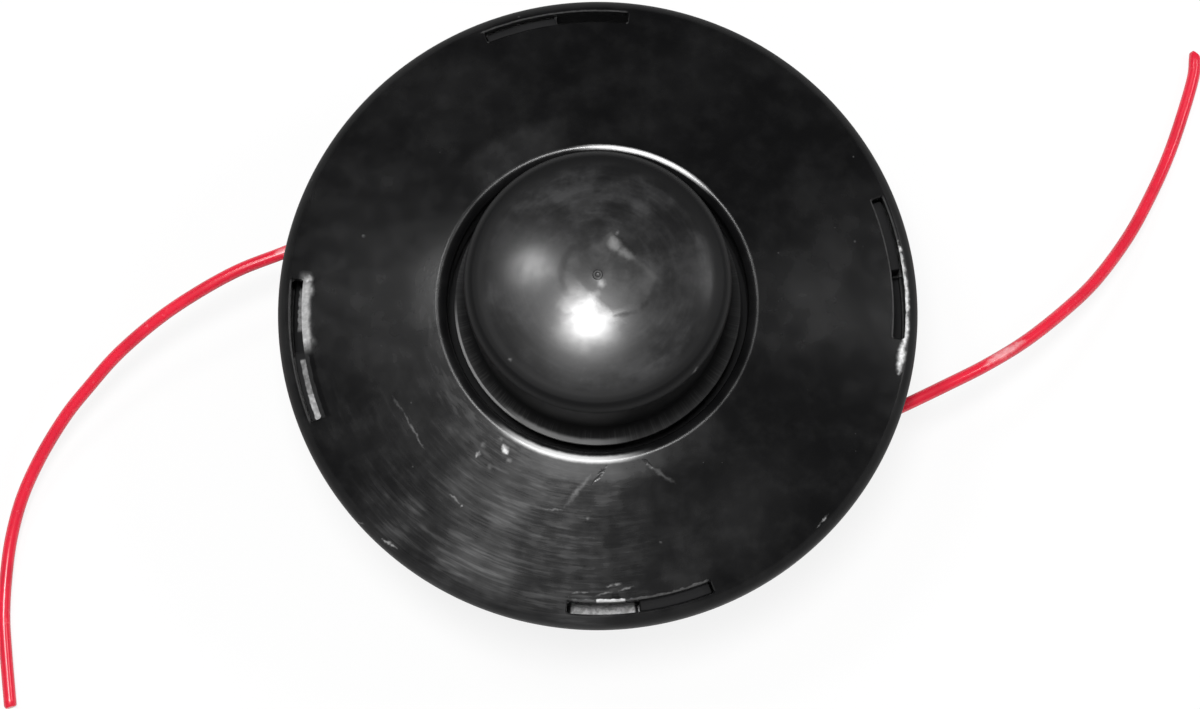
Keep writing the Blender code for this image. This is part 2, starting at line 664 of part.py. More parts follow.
def make_coil(name, low, run_off_degrees, run_off_z, finish):
    """The wound line as a ring with one ridge a row, and the end that leaves it along a tangent."""
    high = low + LINE_ROWS * LINE_DIAMETER
    profile = [(COIL_IN, high)]
    for row in range(LINE_ROWS):
        top = high - row * LINE_DIAMETER
        profile.append((COIL_OUT - COIL_RIDGE, top))
        profile.append((COIL_OUT, top - LINE_DIAMETER / 2))
    profile.append((COIL_OUT - COIL_RIDGE, low))
    profile.append((COIL_IN, low))
    coil = turned(name, profile, finish, COIL_STEPS)

    leave_radius = COIL_OUT - COIL_RIDGE - LINE_DIAMETER / 2
    span = math.degrees(math.acos(leave_radius / RUN_OFF_RADIUS))
    start_angle = math.radians(run_off_degrees - span)
    end_angle = math.radians(run_off_degrees)
    inner_z = low + LINE_DIAMETER / 2 if run_off_z < low else high - LINE_DIAMETER / 2
    start = Vector((leave_radius * math.cos(start_angle), leave_radius * math.sin(start_angle), inner_z))
    end = Vector((RUN_OFF_RADIUS * math.cos(end_angle), RUN_OFF_RADIUS * math.sin(end_angle), run_off_z))
    past_flange = math.sqrt((MIDDLE_FLANGE_RADIUS + RUN_OFF_CLEARS) ** 2 - leave_radius**2)
    whole = math.sqrt(RUN_OFF_RADIUS**2 - leave_radius**2)
    clears = start.lerp(end, past_flange / whole)
    clears.z = inner_z
    points = [start, start.lerp(clears, 0.5), clears, end]
    run_off = tube_curve(f"{name}_run_off", points, LINE_DIAMETER, finish)
    join(coil, curve_to_mesh(run_off))
    return coil


def make_knob(finish):
    skirt_top = LIP_Z - KNOB_SKIRT_BELOW_LIP
    skirt_low = skirt_top - KNOB_SKIRT
    edge_z = KNOB_TOP_Z - DOME_CROWN
    crown_half = DOME_EDGE_RADIUS - DOME_ROUNDING
    crown_radius = (crown_half**2 + DOME_CROWN**2) / (2 * DOME_CROWN)
    crown_half_degrees = math.degrees(math.asin(crown_half / crown_radius))
    crown = arc(0.0, KNOB_TOP_Z - crown_radius, crown_radius, 90.0, 90.0 - crown_half_degrees, 3)
    rounding = arc(
        crown_half, edge_z - DOME_ROUNDING, DOME_ROUNDING, 90.0 - crown_half_degrees, 0.0, 3
    )
    flare = arc(
        KNOB_NECK_RADIUS + KNOB_FLARE, skirt_top + KNOB_FLARE, KNOB_FLARE, 180.0, 270.0, 3
    )
    snap_r = KNOB_IN - SNAP_DEPTH
    bead = SNAP_WIDTH / 2 - SEAT_GAP
    ceiling_z = KNOB_TOP_Z - KNOB_WALL
    profile = [
        *crown,
        *rounding[1:],
        *flare[:-1],
        (KNOB_SKIRT_RADIUS, skirt_top),
        (KNOB_SKIRT_RADIUS, skirt_low),
        (KNOB_FOOT_RADIUS, skirt_low),
        (KNOB_FOOT_RADIUS, KNOB_FOOT_Z),
        (KNOB_IN, KNOB_FOOT_Z),
        (KNOB_IN, SNAP_Z - bead - SNAP_DEPTH),
        (snap_r, SNAP_Z - bead),
        (snap_r, SNAP_Z + bead),
        (KNOB_IN, SNAP_Z + bead + SNAP_DEPTH),
        (KNOB_IN, edge_z - DOME_ROUNDING),
        (crown_half - KNOB_WALL, ceiling_z - DOME_CROWN),
        (0.0, ceiling_z),
    ]
    return turned("knob", profile, finish, closed=False)


# Cover

def make_cover(finish):
    slope_degrees = math.degrees(math.atan(CONE_SLOPE))
    lip = arc(LIP_CENTRE_RADIUS, LIP_Z - LIP_ROUNDING, LIP_ROUNDING, 180.0, 90.0 - slope_degrees, 3)
    rim = arc(RIM_CENTRE_RADIUS, RIM_Z, RIM_FILLET, 90.0 - slope_degrees, 0.0, 3)
    collar_z = SPOOL_TOP_Z + COLLAR_CLEARS
    profile = [
        *lip,
        *rim,
        (HEAD_RADIUS - SKIRT_DRAFT, SKIRT_Z),
        (SKIRT_IN, SKIRT_Z),
        (SKIRT_IN, cover_top_z(SKIRT_IN) - COVER_WALL),
        (COLLAR_OUT, cover_top_z(COLLAR_OUT) - COVER_WALL),
        (COLLAR_OUT, collar_z),
        (HOLE_RADIUS, collar_z),
    ]
    cover = turned("cover", profile, finish, COVER_STEPS)

    cam_start = TOOTH_START_DEGREES + TOOTH_DEGREES + TOOTH_GAP_DEGREES
    cam_top = cover_top_z(COLLAR_OUT) - COVER_WALL + BLEND
    cams = sectors(
        "cover_cams", TOOTH_COUNT, (COLLAR_OUT - BLEND, UPPER_TOOTH_OUT), (SPOOL_TOP_Z + SEAT_GAP, cam_top),
        (cam_start, cam_start + TOOTH_DEGREES),
    )
    join(cover, cams)
    ledges = sectors(
        "cover_ledges", SLOT_COUNT, (SLOT_IN, SKIRT_IN + BLEND), (SKIRT_Z + BLEND, SKIRT_Z + LEDGE_HEIGHT),
        (HOOK_START_DEGREES, SLOT_END_DEGREES), 3,
    )
    join(cover, ledges)
    slots = sectors(
        "cover_slots", SLOT_COUNT, (SLOT_IN, SLOT_OUT), (WALL_TOP_Z - CUT_PAST, PLATE_EDGE_Z + CUT_PAST),
        (SLOT_START_DEGREES, SLOT_END_DEGREES), 5,
    )
    cut(cover, slots)
    return cover


def bake_shapes():
    """Turn each piece's modifiers into its mesh, shaded smooth with sharp corners."""
    depsgraph = bpy.context.evaluated_depsgraph_get()
    for obj in collection(PART).objects:
        if obj.type != "MESH":
            continue
        mesh = bpy.data.meshes.new_from_object(obj.evaluated_get(depsgraph))
        obj.modifiers.clear()
        obj.data = mesh
        mesh.shade_smooth()
        mesh.set_sharp_from_angle(angle=math.radians(SHARP_DEGREES))


def main():
    clear_scene()
    gloss = material("black_cover", (0.012, 0.012, 0.013), 0.32)
    knob_black = material("black_knob", (0.02, 0.02, 0.021), 0.38)
    body = material("black_housing", (0.014, 0.014, 0.015), 0.45)
    spool_grey = material("grey_spool", (0.05, 0.05, 0.052), 0.5)
    steel = material("steel", (0.55, 0.55, 0.54), 0.35, 1.0)
    zinc = material("zinc_eyelet", (0.6, 0.6, 0.58), 0.3, 1.0)
    nylon = material("red_nylon", (0.72, 0.045, 0.075), 0.3)

    make_housing(body)
    make_arbor_insert(steel)
    make_eyelet("eyelet_left", EYELET_DEGREES[0], zinc)
    make_eyelet("eyelet_right", EYELET_DEGREES[1], zinc)
    make_washer("spring_seat", FLOOR_Z + SEAT_GAP, steel)
    make_spring(steel)
    make_washer("spring_washer", PLATE_UNDER_Z - SEAT_GAP - WASHER, steel)
    make_spool(spool_grey)
    make_coil("line_coil_lower", LOWER_CHAMBER_Z + SEAT_GAP, LOWER_RUN_OFF_DEGREES, LOWER_RUN_OFF_Z, nylon)
    make_coil("line_coil_upper", UPPER_CHAMBER_Z + SEAT_GAP, UPPER_RUN_OFF_DEGREES, UPPER_RUN_OFF_Z, nylon)
    make_knob(knob_black)
    make_cover(gloss)
    tube_curve("line_tail_left", smooth_route(LEFT_ROUTE, TAIL_POINT_SPACING), LINE_DIAMETER, nylon)
    tube_curve("line_tail_right", smooth_route(RIGHT_ROUTE, TAIL_POINT_SPACING), LINE_DIAMETER, nylon)
    bake_shapes()


main()
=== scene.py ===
"""Looks of a tap-and-go trimmer head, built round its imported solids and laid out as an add-on.

Lengths in profiles and routes are millimetres, and MM turns them into metres. The row frame is the
part's: the hub's mounting face at z = 0, and +Z up to the bump knob.
"""

import math

import bmesh
import bpy
from bpy.props import FloatProperty, FloatVectorProperty, IntProperty, PointerProperty
from mathutils import Matrix, Vector


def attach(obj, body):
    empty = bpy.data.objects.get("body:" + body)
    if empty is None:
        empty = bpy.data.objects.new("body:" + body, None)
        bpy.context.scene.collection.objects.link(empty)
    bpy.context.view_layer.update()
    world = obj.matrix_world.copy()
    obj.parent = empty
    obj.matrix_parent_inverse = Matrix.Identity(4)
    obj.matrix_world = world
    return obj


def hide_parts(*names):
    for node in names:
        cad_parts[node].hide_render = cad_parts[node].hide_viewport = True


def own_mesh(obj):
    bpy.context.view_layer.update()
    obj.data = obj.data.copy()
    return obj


bl_info = {
    "name": "Trimmer head",
    "version": (1, 0, 0),
    "blender": (4, 5, 0),
    "location": "View3D > Sidebar > Trimmer head",
    "description": "Builds the pieces, finishes and studio of a trimmer head",
    "category": "Object",
}

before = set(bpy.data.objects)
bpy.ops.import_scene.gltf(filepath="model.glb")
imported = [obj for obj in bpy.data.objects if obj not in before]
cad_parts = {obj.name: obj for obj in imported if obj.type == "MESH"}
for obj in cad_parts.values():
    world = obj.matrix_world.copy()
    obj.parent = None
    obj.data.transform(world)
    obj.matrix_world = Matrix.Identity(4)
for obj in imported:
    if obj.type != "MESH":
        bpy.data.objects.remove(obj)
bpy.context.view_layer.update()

MM = 0.001
HOUSING_BODY = "housing_body"
WASHER_BODY = "washer_body"
SPOOL_BODY = "spool_body"

# Heights, in millimetres
FLOOR_Z = 6.5
SPOOL_Z = 13.1
LOWER_CHAMBER_Z = 15.1
MIDDLE_FLANGE_Z = 26.5
UPPER_CHAMBER_Z = 28.5
TOP_FLANGE_Z = 39.9
SPOOL_TOP_Z = 41.9
PLATE_UNDER_Z = 35.5
PLATE_TOP_Z = 38.0
EYELET_Z = 26.0
SKIRT_Z = 35.0
PLATE_EDGE_Z = 46.5
KNOB_TOP_Z = 79.7

# Fineness of the meshes
SECTOR_STEPS = 8
SLOT_STEPS = 26
WOUND_ROUNDNESS = 3
TAIL_ROUNDNESS = 5
TAIL_SPACING = 1.2
SAME_PLACE = 0.0000005

# Radii, in millimetres
TUBE_R = 11.5
CORE_R = 26.0
CORE_IN_R = 23.8
KNOB_RING_R = 23.4
HOLE_R = 30.3
COLLAR_R = 34.6
HOUSING_R = 59.5
RIM_CENTRE_R = 62.3
RIM_FILLET = 2.7
LIP_ROUNDING = 2.0
LIP_CENTRE_R = HOLE_R + LIP_ROUNDING
RIM_CENTRE_Z = PLATE_EDGE_Z - RIM_FILLET
CONE_SLOPE = 0.23381
CONE_ANGLE = math.atan(CONE_SLOPE)

# Slots of the cover and the hooks in them
SLOT_R = (60.0, 62.4)
SLOT_DEGREES = (-5.8, 22.0)
SLOT_MIDDLE_R = 61.0
SLOT_CORNER = 0.35
HOOK_DEGREES = (8.0, 21.7)
TOOTH_DEGREES = (2.0, 12.0)
CAM_DEGREES = (13.0, 23.0)
LOWER_CAM_DEGREES = (43.0, 53.0)

EYELET_DEGREES = {"left": 161.0, "right": 341.0}

# Routes of the two tails, the same points as in the part's source
TAIL_ROUTES = {
    "left": [
        (-52.2, 20.6, 25.3), (-56.2, 19.3, 25.8), (-61.2, 17.7, 26.0), (-66.2, 15.8, 25.7),
        (-74.7, 12.6, 24.9), (-83.1, 8.3, 23.3), (-91.6, 3.1, 20.7), (-100.2, -3.6, 17.3),
        (-106.7, -10.2, 14.0), (-111.7, -15.9, 11.4), (-117.0, -23.8, 8.1), (-121.0, -31.9, 5.4),
        (-123.4, -40.2, 3.3), (-124.5, -48.5, 2.1), (-124.8, -56.9, 1.6), (-124.1, -65.4, 1.5),
        (-123.0, -75.5, 1.5),
    ],
    "right": [
        (52.3, -20.9, 26.8), (56.2, -19.3, 26.3), (60.0, -17.6, 25.9), (63.7, -15.9, 25.5),
        (72.1, -11.7, 24.7), (80.7, -7.0, 22.5), (89.5, -1.1, 19.1), (98.4, 6.5, 14.8),
        (105.3, 13.6, 11.1), (112.5, 23.5, 6.8), (117.8, 33.0, 3.8), (122.1, 42.2, 2.0),
        (125.4, 51.2, 1.5), (128.1, 60.1, 1.5), (128.6, 64.8, 1.5),
    ],
}
TIP_CUTS = {"left": math.radians(12.0), "right": math.radians(-38.0)}

# The studio. The camera looks at a point given in millimetres.
LIGHT_DISTANCE = 1.6
CAMERA_TARGET = (0.45, -8.93, 43.8)
CAMERA_DISTANCE = 0.9
CAMERA_LENS = 133.1

# Noise that makes the marks' edges uneven: features in a metre, and how far it moves a mark's edge
SHAKE_SCALE = 900.0
SHAKE_REACH = 0.0011
RAGGED_SCALE = 700.0

# Colours of wear, and of painted highlights, sheen and shade
WEAR_AND_HIGHLIGHT_WHITE = (0.85, 0.85, 0.85)
SCUFF_AND_SHEEN_GREY = (0.085, 0.085, 0.086)
SPECK_GREY = (0.09, 0.09, 0.09)
GOUGE_SHADE_BLACK = (0.002, 0.002, 0.002)
RUB_GREY = (0.07, 0.07, 0.07)

# Places of marks in millimetres, as the photograph shows them. The last number of a row is its strength.
# Some rows are real wear and some are painted highlights, sheen and shade, as each table says.
# Spots: point and size. Scratches: start, end and width. Bands: radii, bearings, softness, raggedness, and
# the share of their length that is even.
# Specks and nicks; the last four rows are painted highlights on the left slot's worn inner edge.
COVER_SPOTS_AND_HIGHLIGHTS = [
    ((-23.0, -29.0, 52.5), 1.1, 0.25), ((-19.3, -28.0, 53.2), 0.7, 0.3), ((-17.8, -32.3, 52.5), 0.9, 0.32),
    ((-21.6, -33.4, 51.8), 0.9, 0.25), ((-1.96, -43.7, 50.98), 0.6, 0.3), ((-47.35, 14.34, 49.46), 0.5, 0.35),
    ((12.49, -48.35, 49.53), 0.5, 0.25), ((-27.3, -40.9, 49.71), 0.6, 0.5), ((-58.6, 5.9, 46.9), 1.6, 0.9),
    ((-58.9, 3.6, 46.9), 2.4, 0.76), ((-59.2, -6.6, 46.9), 1.8, 0.85), ((-57.8, -6.9, 47.1), 1.8, 0.3),
]
COVER_SCRATCHES_AND_GLINTS = [
    ((-23.6, -30.2, 52.1), (-24.4, -31.6, 51.8), 0.75, 0.62),
    ((-19.0, -29.0, 53.0), (-17.9, -31.3, 52.7), 1.0, 1.0),
    ((-41.31, -18.74, 50.52), (-39.06, -22.04, 50.65), 0.6, 0.2),
    ((-39.06, -22.04, 50.65), (-34.77, -29.58, 50.48), 0.5, 0.3),
    ((-27.49, -40.66, 49.71), (-29.91, -38.24, 49.83), 0.5, 0.35),
    ((-10.78, -41.7, 51.13), (-6.97, -42.12, 51.22), 0.4, 0.3),
    ((-5.45, -58.2, 47.61), (-1.16, -58.11, 47.69), 0.4, 0.35),
    ((-0.35, -58.7, 47.56), (3.86, -57.81, 47.73), 0.4, 0.35),
    ((3.86, -57.81, 47.73), (7.27, -56.82, 47.88), 0.5, 0.35),
    ((1.25, -57.23, 47.9), (5.27, -56.14, 48.09), 0.5, 0.4),
    ((-1.15, -34.86, 53.05), (-6.81, -41.65, 51.34), 0.9, 0.27),
    ((9.5, -32.8, 53.2), (15.5, -36.8, 52.0), 0.8, 0.24),
    # Painted highlight: the long bright arc of light on the rim's rounding at the right.
    ((60.6, 15.0, 46.5), (62.0, 9.4, 46.5), 0.6, 1.0), ((61.4, 12.2, 46.5), (62.6, 2.4, 46.5), 0.9, 1.2),
    ((62.5, 4.6, 46.5), (62.5, -2.0, 46.5), 1.0, 1.2), ((62.6, -1.2, 46.5), (61.9, -8.4, 46.5), 1.1, 1.2),
    ((62.0, -6.2, 46.5), (60.7, -13.4, 46.6), 1.3, 1.1),
    # Painted glints of light on the rim's rounding.
    ((-43.3, -47.1, 45.9), (-40.3, -48.9, 46.3), 0.55, 0.6),
    ((-48.4, -43.2, 44.5), (-46.8, -44.2, 45.6), 0.4, 0.35),
    ((43.6, -44.9, 46.2), (46.6, -41.9, 46.3), 0.5, 0.5),
]
# Painted highlights: lines along the slots' edges, and the white band along the left slot's worn inner edge.
COVER_SLOT_HIGHLIGHTS = [
    ((59.0, 59.9), (172.0, 190.0), 1.4, 0.9, 0.5, 0.68), ((59.75, 59.95), (-6.2, 22.4), 0.15, 0.2),
    ((62.45, 62.65), (-6.2, 22.4), 0.15, 0.2), ((62.45, 62.65), (174.0, 202.4), 0.15, 0.2),
    ((59.3, 60.4), (188.0, 202.4), 0.3, 0.5, 0.1), ((59.6, 60.3), (269.6, 275.4), 0.25, 0.9, 0.95),
    ((59.7, 60.1), (264.6, 292.0), 0.2, 1.1, 0.22), ((62.45, 62.6), (84.0, 113.0), 0.15, 0.2, 0.2),
]
# Painted sheen: bands round the lip, below it and at its upper left, where a sheen of light is painted in as
# lighter grey.
COVER_LIP_SHEEN = [
    ((33.2, 35.0), (240.0, 298.0), 2.6, 1.6, 0.3, 0.55), ((33.4, 38.0), (96.0, 142.0), 3.4, 1.6, 0.2, 0.34),
]
# Painted highlights on the lip's rounding.
COVER_LIP_HIGHLIGHTS = [
    ((31.9, 32.6), (226.0, 292.0), 0.8, 0.3, 0.1, 0.9), ((31.8, 32.2), (40.0, 104.0), 0.55, 0.15, 0.1, 1.0),
]
# Gouges: dented by the bump, and painted darker as the shade inside them.
COVER_GOUGES = [
    ((1.79, -33.28, 53.41), (-1.15, -37.44, 52.45), 0.5, 1.0),
    ((9.05, -32.2, 53.38), (11.2, -33.74, 52.89), 0.45, 1.0),
]
# Painted sheen: soft spots of the main light's reflection on the lower left of the cone.
COVER_SHEEN_SPOTS = [
    ((-17.8, -42.7, 50.4), 9.0, 1.0), ((-25.7, -51.0, 47.8), 8.0, 1.0), ((-19.4, -53.2, 48.0), 7.0, 1.0),
    ((-11.0, -38.6, 51.6), 6.0, 1.0),
]
KNOB_SPOTS = [
    ((-17.0, -16.2, 75.9), 0.7, 0.3), ((-9.2, -11.6, 78.4), 0.5, 0.2), ((3.79, 8.43, 78.83), 0.8, 0.25),
    ((0.0, -3.7, 79.5), 1.3, 0.3), ((4.07, -29.0, 51.5), 0.6, 0.4), ((14.15, -25.5, 51.5), 0.5, 0.3),
    ((0.7, -1.7, 79.6), 1.5, 0.6),
]
KNOB_SCRATCHES_AND_GLINT = [
    ((2.4, 7.7, 79.0), (4.0, 4.8, 79.2), 2.0, 0.36), ((3.6, 5.4, 79.2), (7.2, 3.2, 79.1), 1.5, 0.27),
    # Painted glint of light on the dome's rounding.
    ((18.6, -19.0, 74.1), (20.4, -17.0, 74.1), 0.8, 0.35),
]
# Dark lines along the worn patch's edges.
KNOB_DARK_LINES = [
    ((3.0, 8.6, 78.9), (7.6, 3.9, 79.1), 1.0, 1.0), ((2.8, -8.2, 79.0), (8.2, -7.2, 78.9), 0.8, 1.0),
    ((8.2, -7.2, 78.9), (10.1, -4.8, 78.8), 1.1, 1.0),
]
# The flat worn patch on the knob: bearings of its sides and their distances from the axis, in millimetres
KNOB_PATCH_SIDES = [(45.0, 8.0), (124.0, 5.6), (186.0, 6.6), (228.0, 3.6), (294.0, 8.2), (334.0, 10.7)]
# Painted highlights: the lit shoulder and hooks seen through the bottom and left slots.
HOOK_HIGHLIGHTS = [
    ((59.5, 60.9), (264.6, 277.4), 0.2, 0.6, 0.85), ((60.3, 61.4), (173.5, 182.5), 0.3, 0.8, 0.8, 0.3),
    ((59.7, 61.0), (189.4, 201.9), 0.2, 0.5, 0.3), ((59.7, 61.1), (196.4, 201.9), 0.2, 0.5, 0.6),
]
# Painted highlights where the two tails catch the light.
LINE_SHINE = [
    ((-57.0, 19.0, 27.2), (-67.0, 15.6, 26.9), 1.5, 1.0), ((80.0, -7.4, 23.9), (89.0, -1.4, 20.5), 1.3, 1.0),
]


# Sizes and colours that a user would change

class LineSettings(bpy.types.PropertyGroup):
    diameter: FloatProperty(
        name="Diameter", description="Thickness of the cutting line", default=0.0027, unit="LENGTH")
    colour: FloatVectorProperty(
        name="Colour", description="Colour of the nylon line", default=(0.80, 0.022, 0.052),
        subtype="COLOR", size=3)
    turns: IntProperty(name="Turns", description="Turns of line in each chamber", default=12, min=1)


class CoverSettings(bpy.types.PropertyGroup):
    colour: FloatVectorProperty(
        name="Colour", description="Colour of the black moulding", default=(0.0045, 0.0045, 0.0048),
        subtype="COLOR", size=3)
    haze: FloatVectorProperty(
        name="Haze", description="Colour of the cloudy film on it", default=(0.014, 0.014, 0.0143),
        subtype="COLOR", size=3)
    edge: FloatProperty(
        name="Slot edge", description="Width of the broken edge round each slot", default=0.00028,
        unit="LENGTH")
    worn_edge: FloatProperty(
        name="Worn slot edge", description="Width of the worn inner edge of the left slot",
        default=0.0017, unit="LENGTH")


class KnobSettings(bpy.types.PropertyGroup):
    colour: FloatVectorProperty(
        name="Colour", description="Colour of the knob", default=(0.006, 0.006, 0.0063),
        subtype="COLOR", size=3)
    haze: FloatVectorProperty(
        name="Haze", description="Colour of the mottled film on it", default=(0.045, 0.045, 0.046),
        subtype="COLOR", size=3)


class HousingSettings(bpy.types.PropertyGroup):
    colour: FloatVectorProperty(
        name="Colour", description="Colour of the housing", default=(0.009, 0.009, 0.0095),
        subtype="COLOR", size=3)
    spool_colour: FloatVectorProperty(
        name="Spool colour", description="Colour of the spool", default=(0.01, 0.01, 0.0105),
        subtype="COLOR", size=3)
    thread_pitch: FloatProperty(
        name="Thread pitch", description="Pitch of the insert's thread", default=0.00125, unit="LENGTH")


class StudioSettings(bpy.types.PropertyGroup):
    main_light: FloatProperty(
        name="Main light", description="Radiance of the large light overhead", default=52.0, min=0.0)
    left_light: FloatProperty(
        name="Left light", description="Radiance of the light at the left", default=18.0, min=0.0)
    right_light: FloatProperty(
        name="Right light", description="Radiance of the light at the right", default=14.0, min=0.0)
    dome: FloatProperty(
        name="Surroundings", description="Brightness of the dark part of the surroundings",
        default=0.25, min=0.0)
    camera_height: FloatProperty(
        name="Camera elevation", description="How far the camera stands above the horizon",
        default=math.radians(79.0), subtype="ANGLE")


# Meshes

def piece(name, mesh):
    obj = bpy.data.objects.new(name, mesh)
    bpy.context.scene.collection.objects.link(obj)
    return obj


def finished(obj, body, finish, slot, *nodes, sharp):
    """Shade a piece, give it its material, and set it on its body in place of its CAD nodes."""
    obj.data.materials.clear()
    obj.data.materials.append(finish)
    obj.data.shade_smooth()
    obj.data.set_sharp_from_angle(angle=math.radians(sharp))
    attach(obj, body)
    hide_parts(*nodes)


def arc(centre_r, centre_z, radius, start, end, count):
    points = []
    for i in range(count + 1):
        angle = math.radians(start + (end - start) * i / count)
        points.append((centre_r + radius * math.cos(angle), centre_z + radius * math.sin(angle)))
    return points


def rounded(corners, closed=True, count=4):
    """The profile whose corners (radius, height, rounding) are turned into short arcs."""
    made = []
    for i, (r, z, *rounding) in enumerate(corners):
        open_end = not closed and i in (0, len(corners) - 1)
        if open_end or not rounding:
            made.append((r, z))
            continue
        corner = Vector((r, z))
        back = Vector(corners[i - 1][:2]) - corner
        onward = Vector(corners[(i + 1) % len(corners)][:2]) - corner
        half = back.angle(onward) / 2
        reach = min(rounding[0] / math.tan(half), 0.49 * back.length, 0.49 * onward.length)
        radius = reach * math.tan(half)
        middle = (back.normalized() + onward.normalized()).normalized()
        centre = corner + middle * radius / math.sin(half)
        start = corner + back.normalized() * reach - centre
        end = corner + onward.normalized() * reach - centre
        for step in range(count + 1):
            spoke = start.lerp(end, step / count).normalized() * radius
            made.append(tuple(centre + spoke))
    return made


def turned(name, profile, steps, closed=True):
    """Turn a profile of (radius, height) points in millimetres about Z."""
    mesh = bpy.data.meshes.new(name)
    edges = [(i, i + 1) for i in range(len(profile) - 1)]
    if closed:
        edges.append((len(profile) - 1, 0))
    mesh.from_pydata([(r * MM, 0.0, z * MM) for r, z in profile], edges, [])
    obj = piece(name, mesh)
    screw = obj.modifiers.new("turn", "SCREW")
    screw.steps = steps
    screw.render_steps = steps
    screw.use_merge_vertices = True
    screw.merge_threshold = 2 * SAME_PLACE
    return applied(obj)


def applied(obj):
    """Turn a piece's modifiers into its mesh, and remove the shapes that they used."""
    depsgraph = bpy.context.evaluated_depsgraph_get()
    mesh = bpy.data.meshes.new_from_object(obj.evaluated_get(depsgraph))
    tools = [step.object for step in obj.modifiers if step.type == "BOOLEAN"]
    obj.modifiers.clear()
    old, obj.data = obj.data, mesh
    bpy.data.meshes.remove(old)
    for tool in tools:
        bpy.data.objects.remove(tool)
    return obj


def boolean(obj, operation, *tools):
    for tool in tools:
        step = obj.modifiers.new(tool.name, "BOOLEAN")
        step.operation = operation
        step.solver = "EXACT"
        step.object = tool
    return applied(obj)


def sectors(name, count, radii, heights, degrees, edge=0.0):
    """Equal blocks with arc-shaped sides round the axis, with rounded edges if edge is given."""
    bm = bmesh.new()
    (inner, outer), (low, high) = radii, heights
    corners = [(inner, low), (outer, low), (outer, high), (inner, high)]
    for i in range(count):
        turn = Matrix.Rotation(math.radians(degrees[0] + i * 360.0 / count), 4, "Z")
        face = bm.faces.new([bm.verts.new(turn @ Vector((r * MM, 0.0, z * MM))) for r, z in corners])
        bmesh.ops.spin(
            bm, geom=[face, *face.edges, *face.verts], axis=(0.0, 0.0, 1.0),
            angle=math.radians(degrees[1] - degrees[0]), steps=SECTOR_STEPS)
    bmesh.ops.recalc_face_normals(bm, faces=bm.faces)
    obj = from_bmesh(name, bm)
    if edge:
        bevel = obj.modifiers.new("edges", "BEVEL")
        bevel.width = edge * MM
        bevel.segments = 2
        bevel.angle_limit = math.radians(50.0)
        obj = applied(obj)
    return obj


def from_bmesh(name, bm):
    mesh = bpy.data.meshes.new(name)
    bm.to_mesh(mesh)
    bm.free()
    return piece(name, mesh)


def block(name, size, place, edge):
    """A box in millimetres at a placing matrix, with rounded edges."""
    bm = bmesh.new()
    bmesh.ops.create_cube(bm, size=1.0, matrix=Matrix.Diagonal((*size, 1.0)))
    bmesh.ops.bevel(bm, geom=bm.edges, offset=edge, segments=3, affect="EDGES", profile=0.5)
    bm.transform(Matrix.Scale(MM, 4) @ place)
    return from_bmesh(name, bm)


def radial_place(degrees, height):
    """The frame at the axis, in millimetres, whose Z points outward along a radius."""
    return (
        Matrix.Translation((0.0, 0.0, height))
        @ Matrix.Rotation(math.radians(degrees), 4, "Z")
        @ Matrix.Rotation(math.radians(90.0), 4, "Y")
    )


def laid(obj, degrees, height):
    """Lay a piece that was turned about Z along a radius."""
    place = radial_place(degrees, height)
    place.translation *= MM
    obj.data.transform(place)
    return obj


def grid_mesh(name, rings):
    """A tube through rings of points, each ring with the same count, closed at both ends."""
    bm = bmesh.new()
    rows = [[bm.verts.new(p) for p in ring] for ring in rings]
    count = len(rows[0])
    for low, high in zip(rows, rows[1:]):
        for i in range(count):
            j = (i + 1) % count
            bm.faces.new((low[i], low[j], high[j], high[i]))
    bm.faces.new(rows[0])
    bm.faces.new(list(reversed(rows[-1])))
    bmesh.ops.recalc_face_normals(bm, faces=bm.faces)
    return from_bmesh(name, bm)


def wire_mesh(name, points, diameter):
    """A closed tube of a diameter in millimetres along points in millimetres."""
    obj = wire_curve(name, points, diameter * MM, WOUND_ROUNDNESS)
    depsgraph = bpy.context.evaluated_depsgraph_get()
    mesh = bpy.data.meshes.new_from_object(obj.evaluated_get(depsgraph))
    bpy.data.objects.remove(obj)
    bm = bmesh.new()
    bm.from_mesh(mesh)
    bmesh.ops.remove_doubles(bm, verts=bm.verts, dist=SAME_PLACE)
    bmesh.ops.recalc_face_normals(bm, faces=bm.faces)
    bpy.data.meshes.remove(mesh)
    return from_bmesh(name, bm)


def wire_curve(name, points, diameter, roundness):
    """A round curve of a diameter in metres along points in millimetres."""
    curve = bpy.data.curves.new(name, "CURVE")
    curve.dimensions = "3D"
    curve.bevel_depth = diameter / 2
    curve.bevel_resolution = roundness
    curve.use_fill_caps = True
    spline = curve.splines.new("POLY")
    spline.points.add(len(points) - 1)
    for target, point in zip(spline.points, points):
        target.co = (*(Vector(point) * MM), 1.0)
    spline.use_smooth = True
    return piece(name, curve)


def smooth_route(route, spacing):
    """Points at an even spacing on a smooth curve through the route's points."""
    steps = 12
    knots = [Vector(p) for p in route]
    ends = [knots[0] * 2 - knots[1], *knots, knots[-1] * 2 - knots[-2]]
    fine = []
    for a, b, c, d in zip(ends, ends[1:], ends[2:], ends[3:]):
        for i in range(steps):
            t = i / steps
            fine.append(0.5 * (2 * b + (c - a) * t + (2 * a - 5 * b + 4 * c - d) * t**2
                               + (3 * b - a - 3 * c + d) * t**3))
    fine.append(knots[-1])
    along = [0.0]
    for a, b in zip(fine, fine[1:]):
        along.append(along[-1] + (b - a).length)
    count = round(along[-1] / spacing)
    points, j = [], 0
    for i in range(count + 1):
        target = along[-1] * i / count
        while j < len(fine) - 2 and along[j + 1] < target:
            j += 1
        share = (target - along[j]) / (along[j + 1] - along[j])
        points.append(fine[j].lerp(fine[j + 1], min(share, 1.0)))
    return points


def smoothstep(low, high, value):
    t = min(max((value - low) / (high - low), 0.0), 1.0)
    return t * t * (3 - 2 * t)


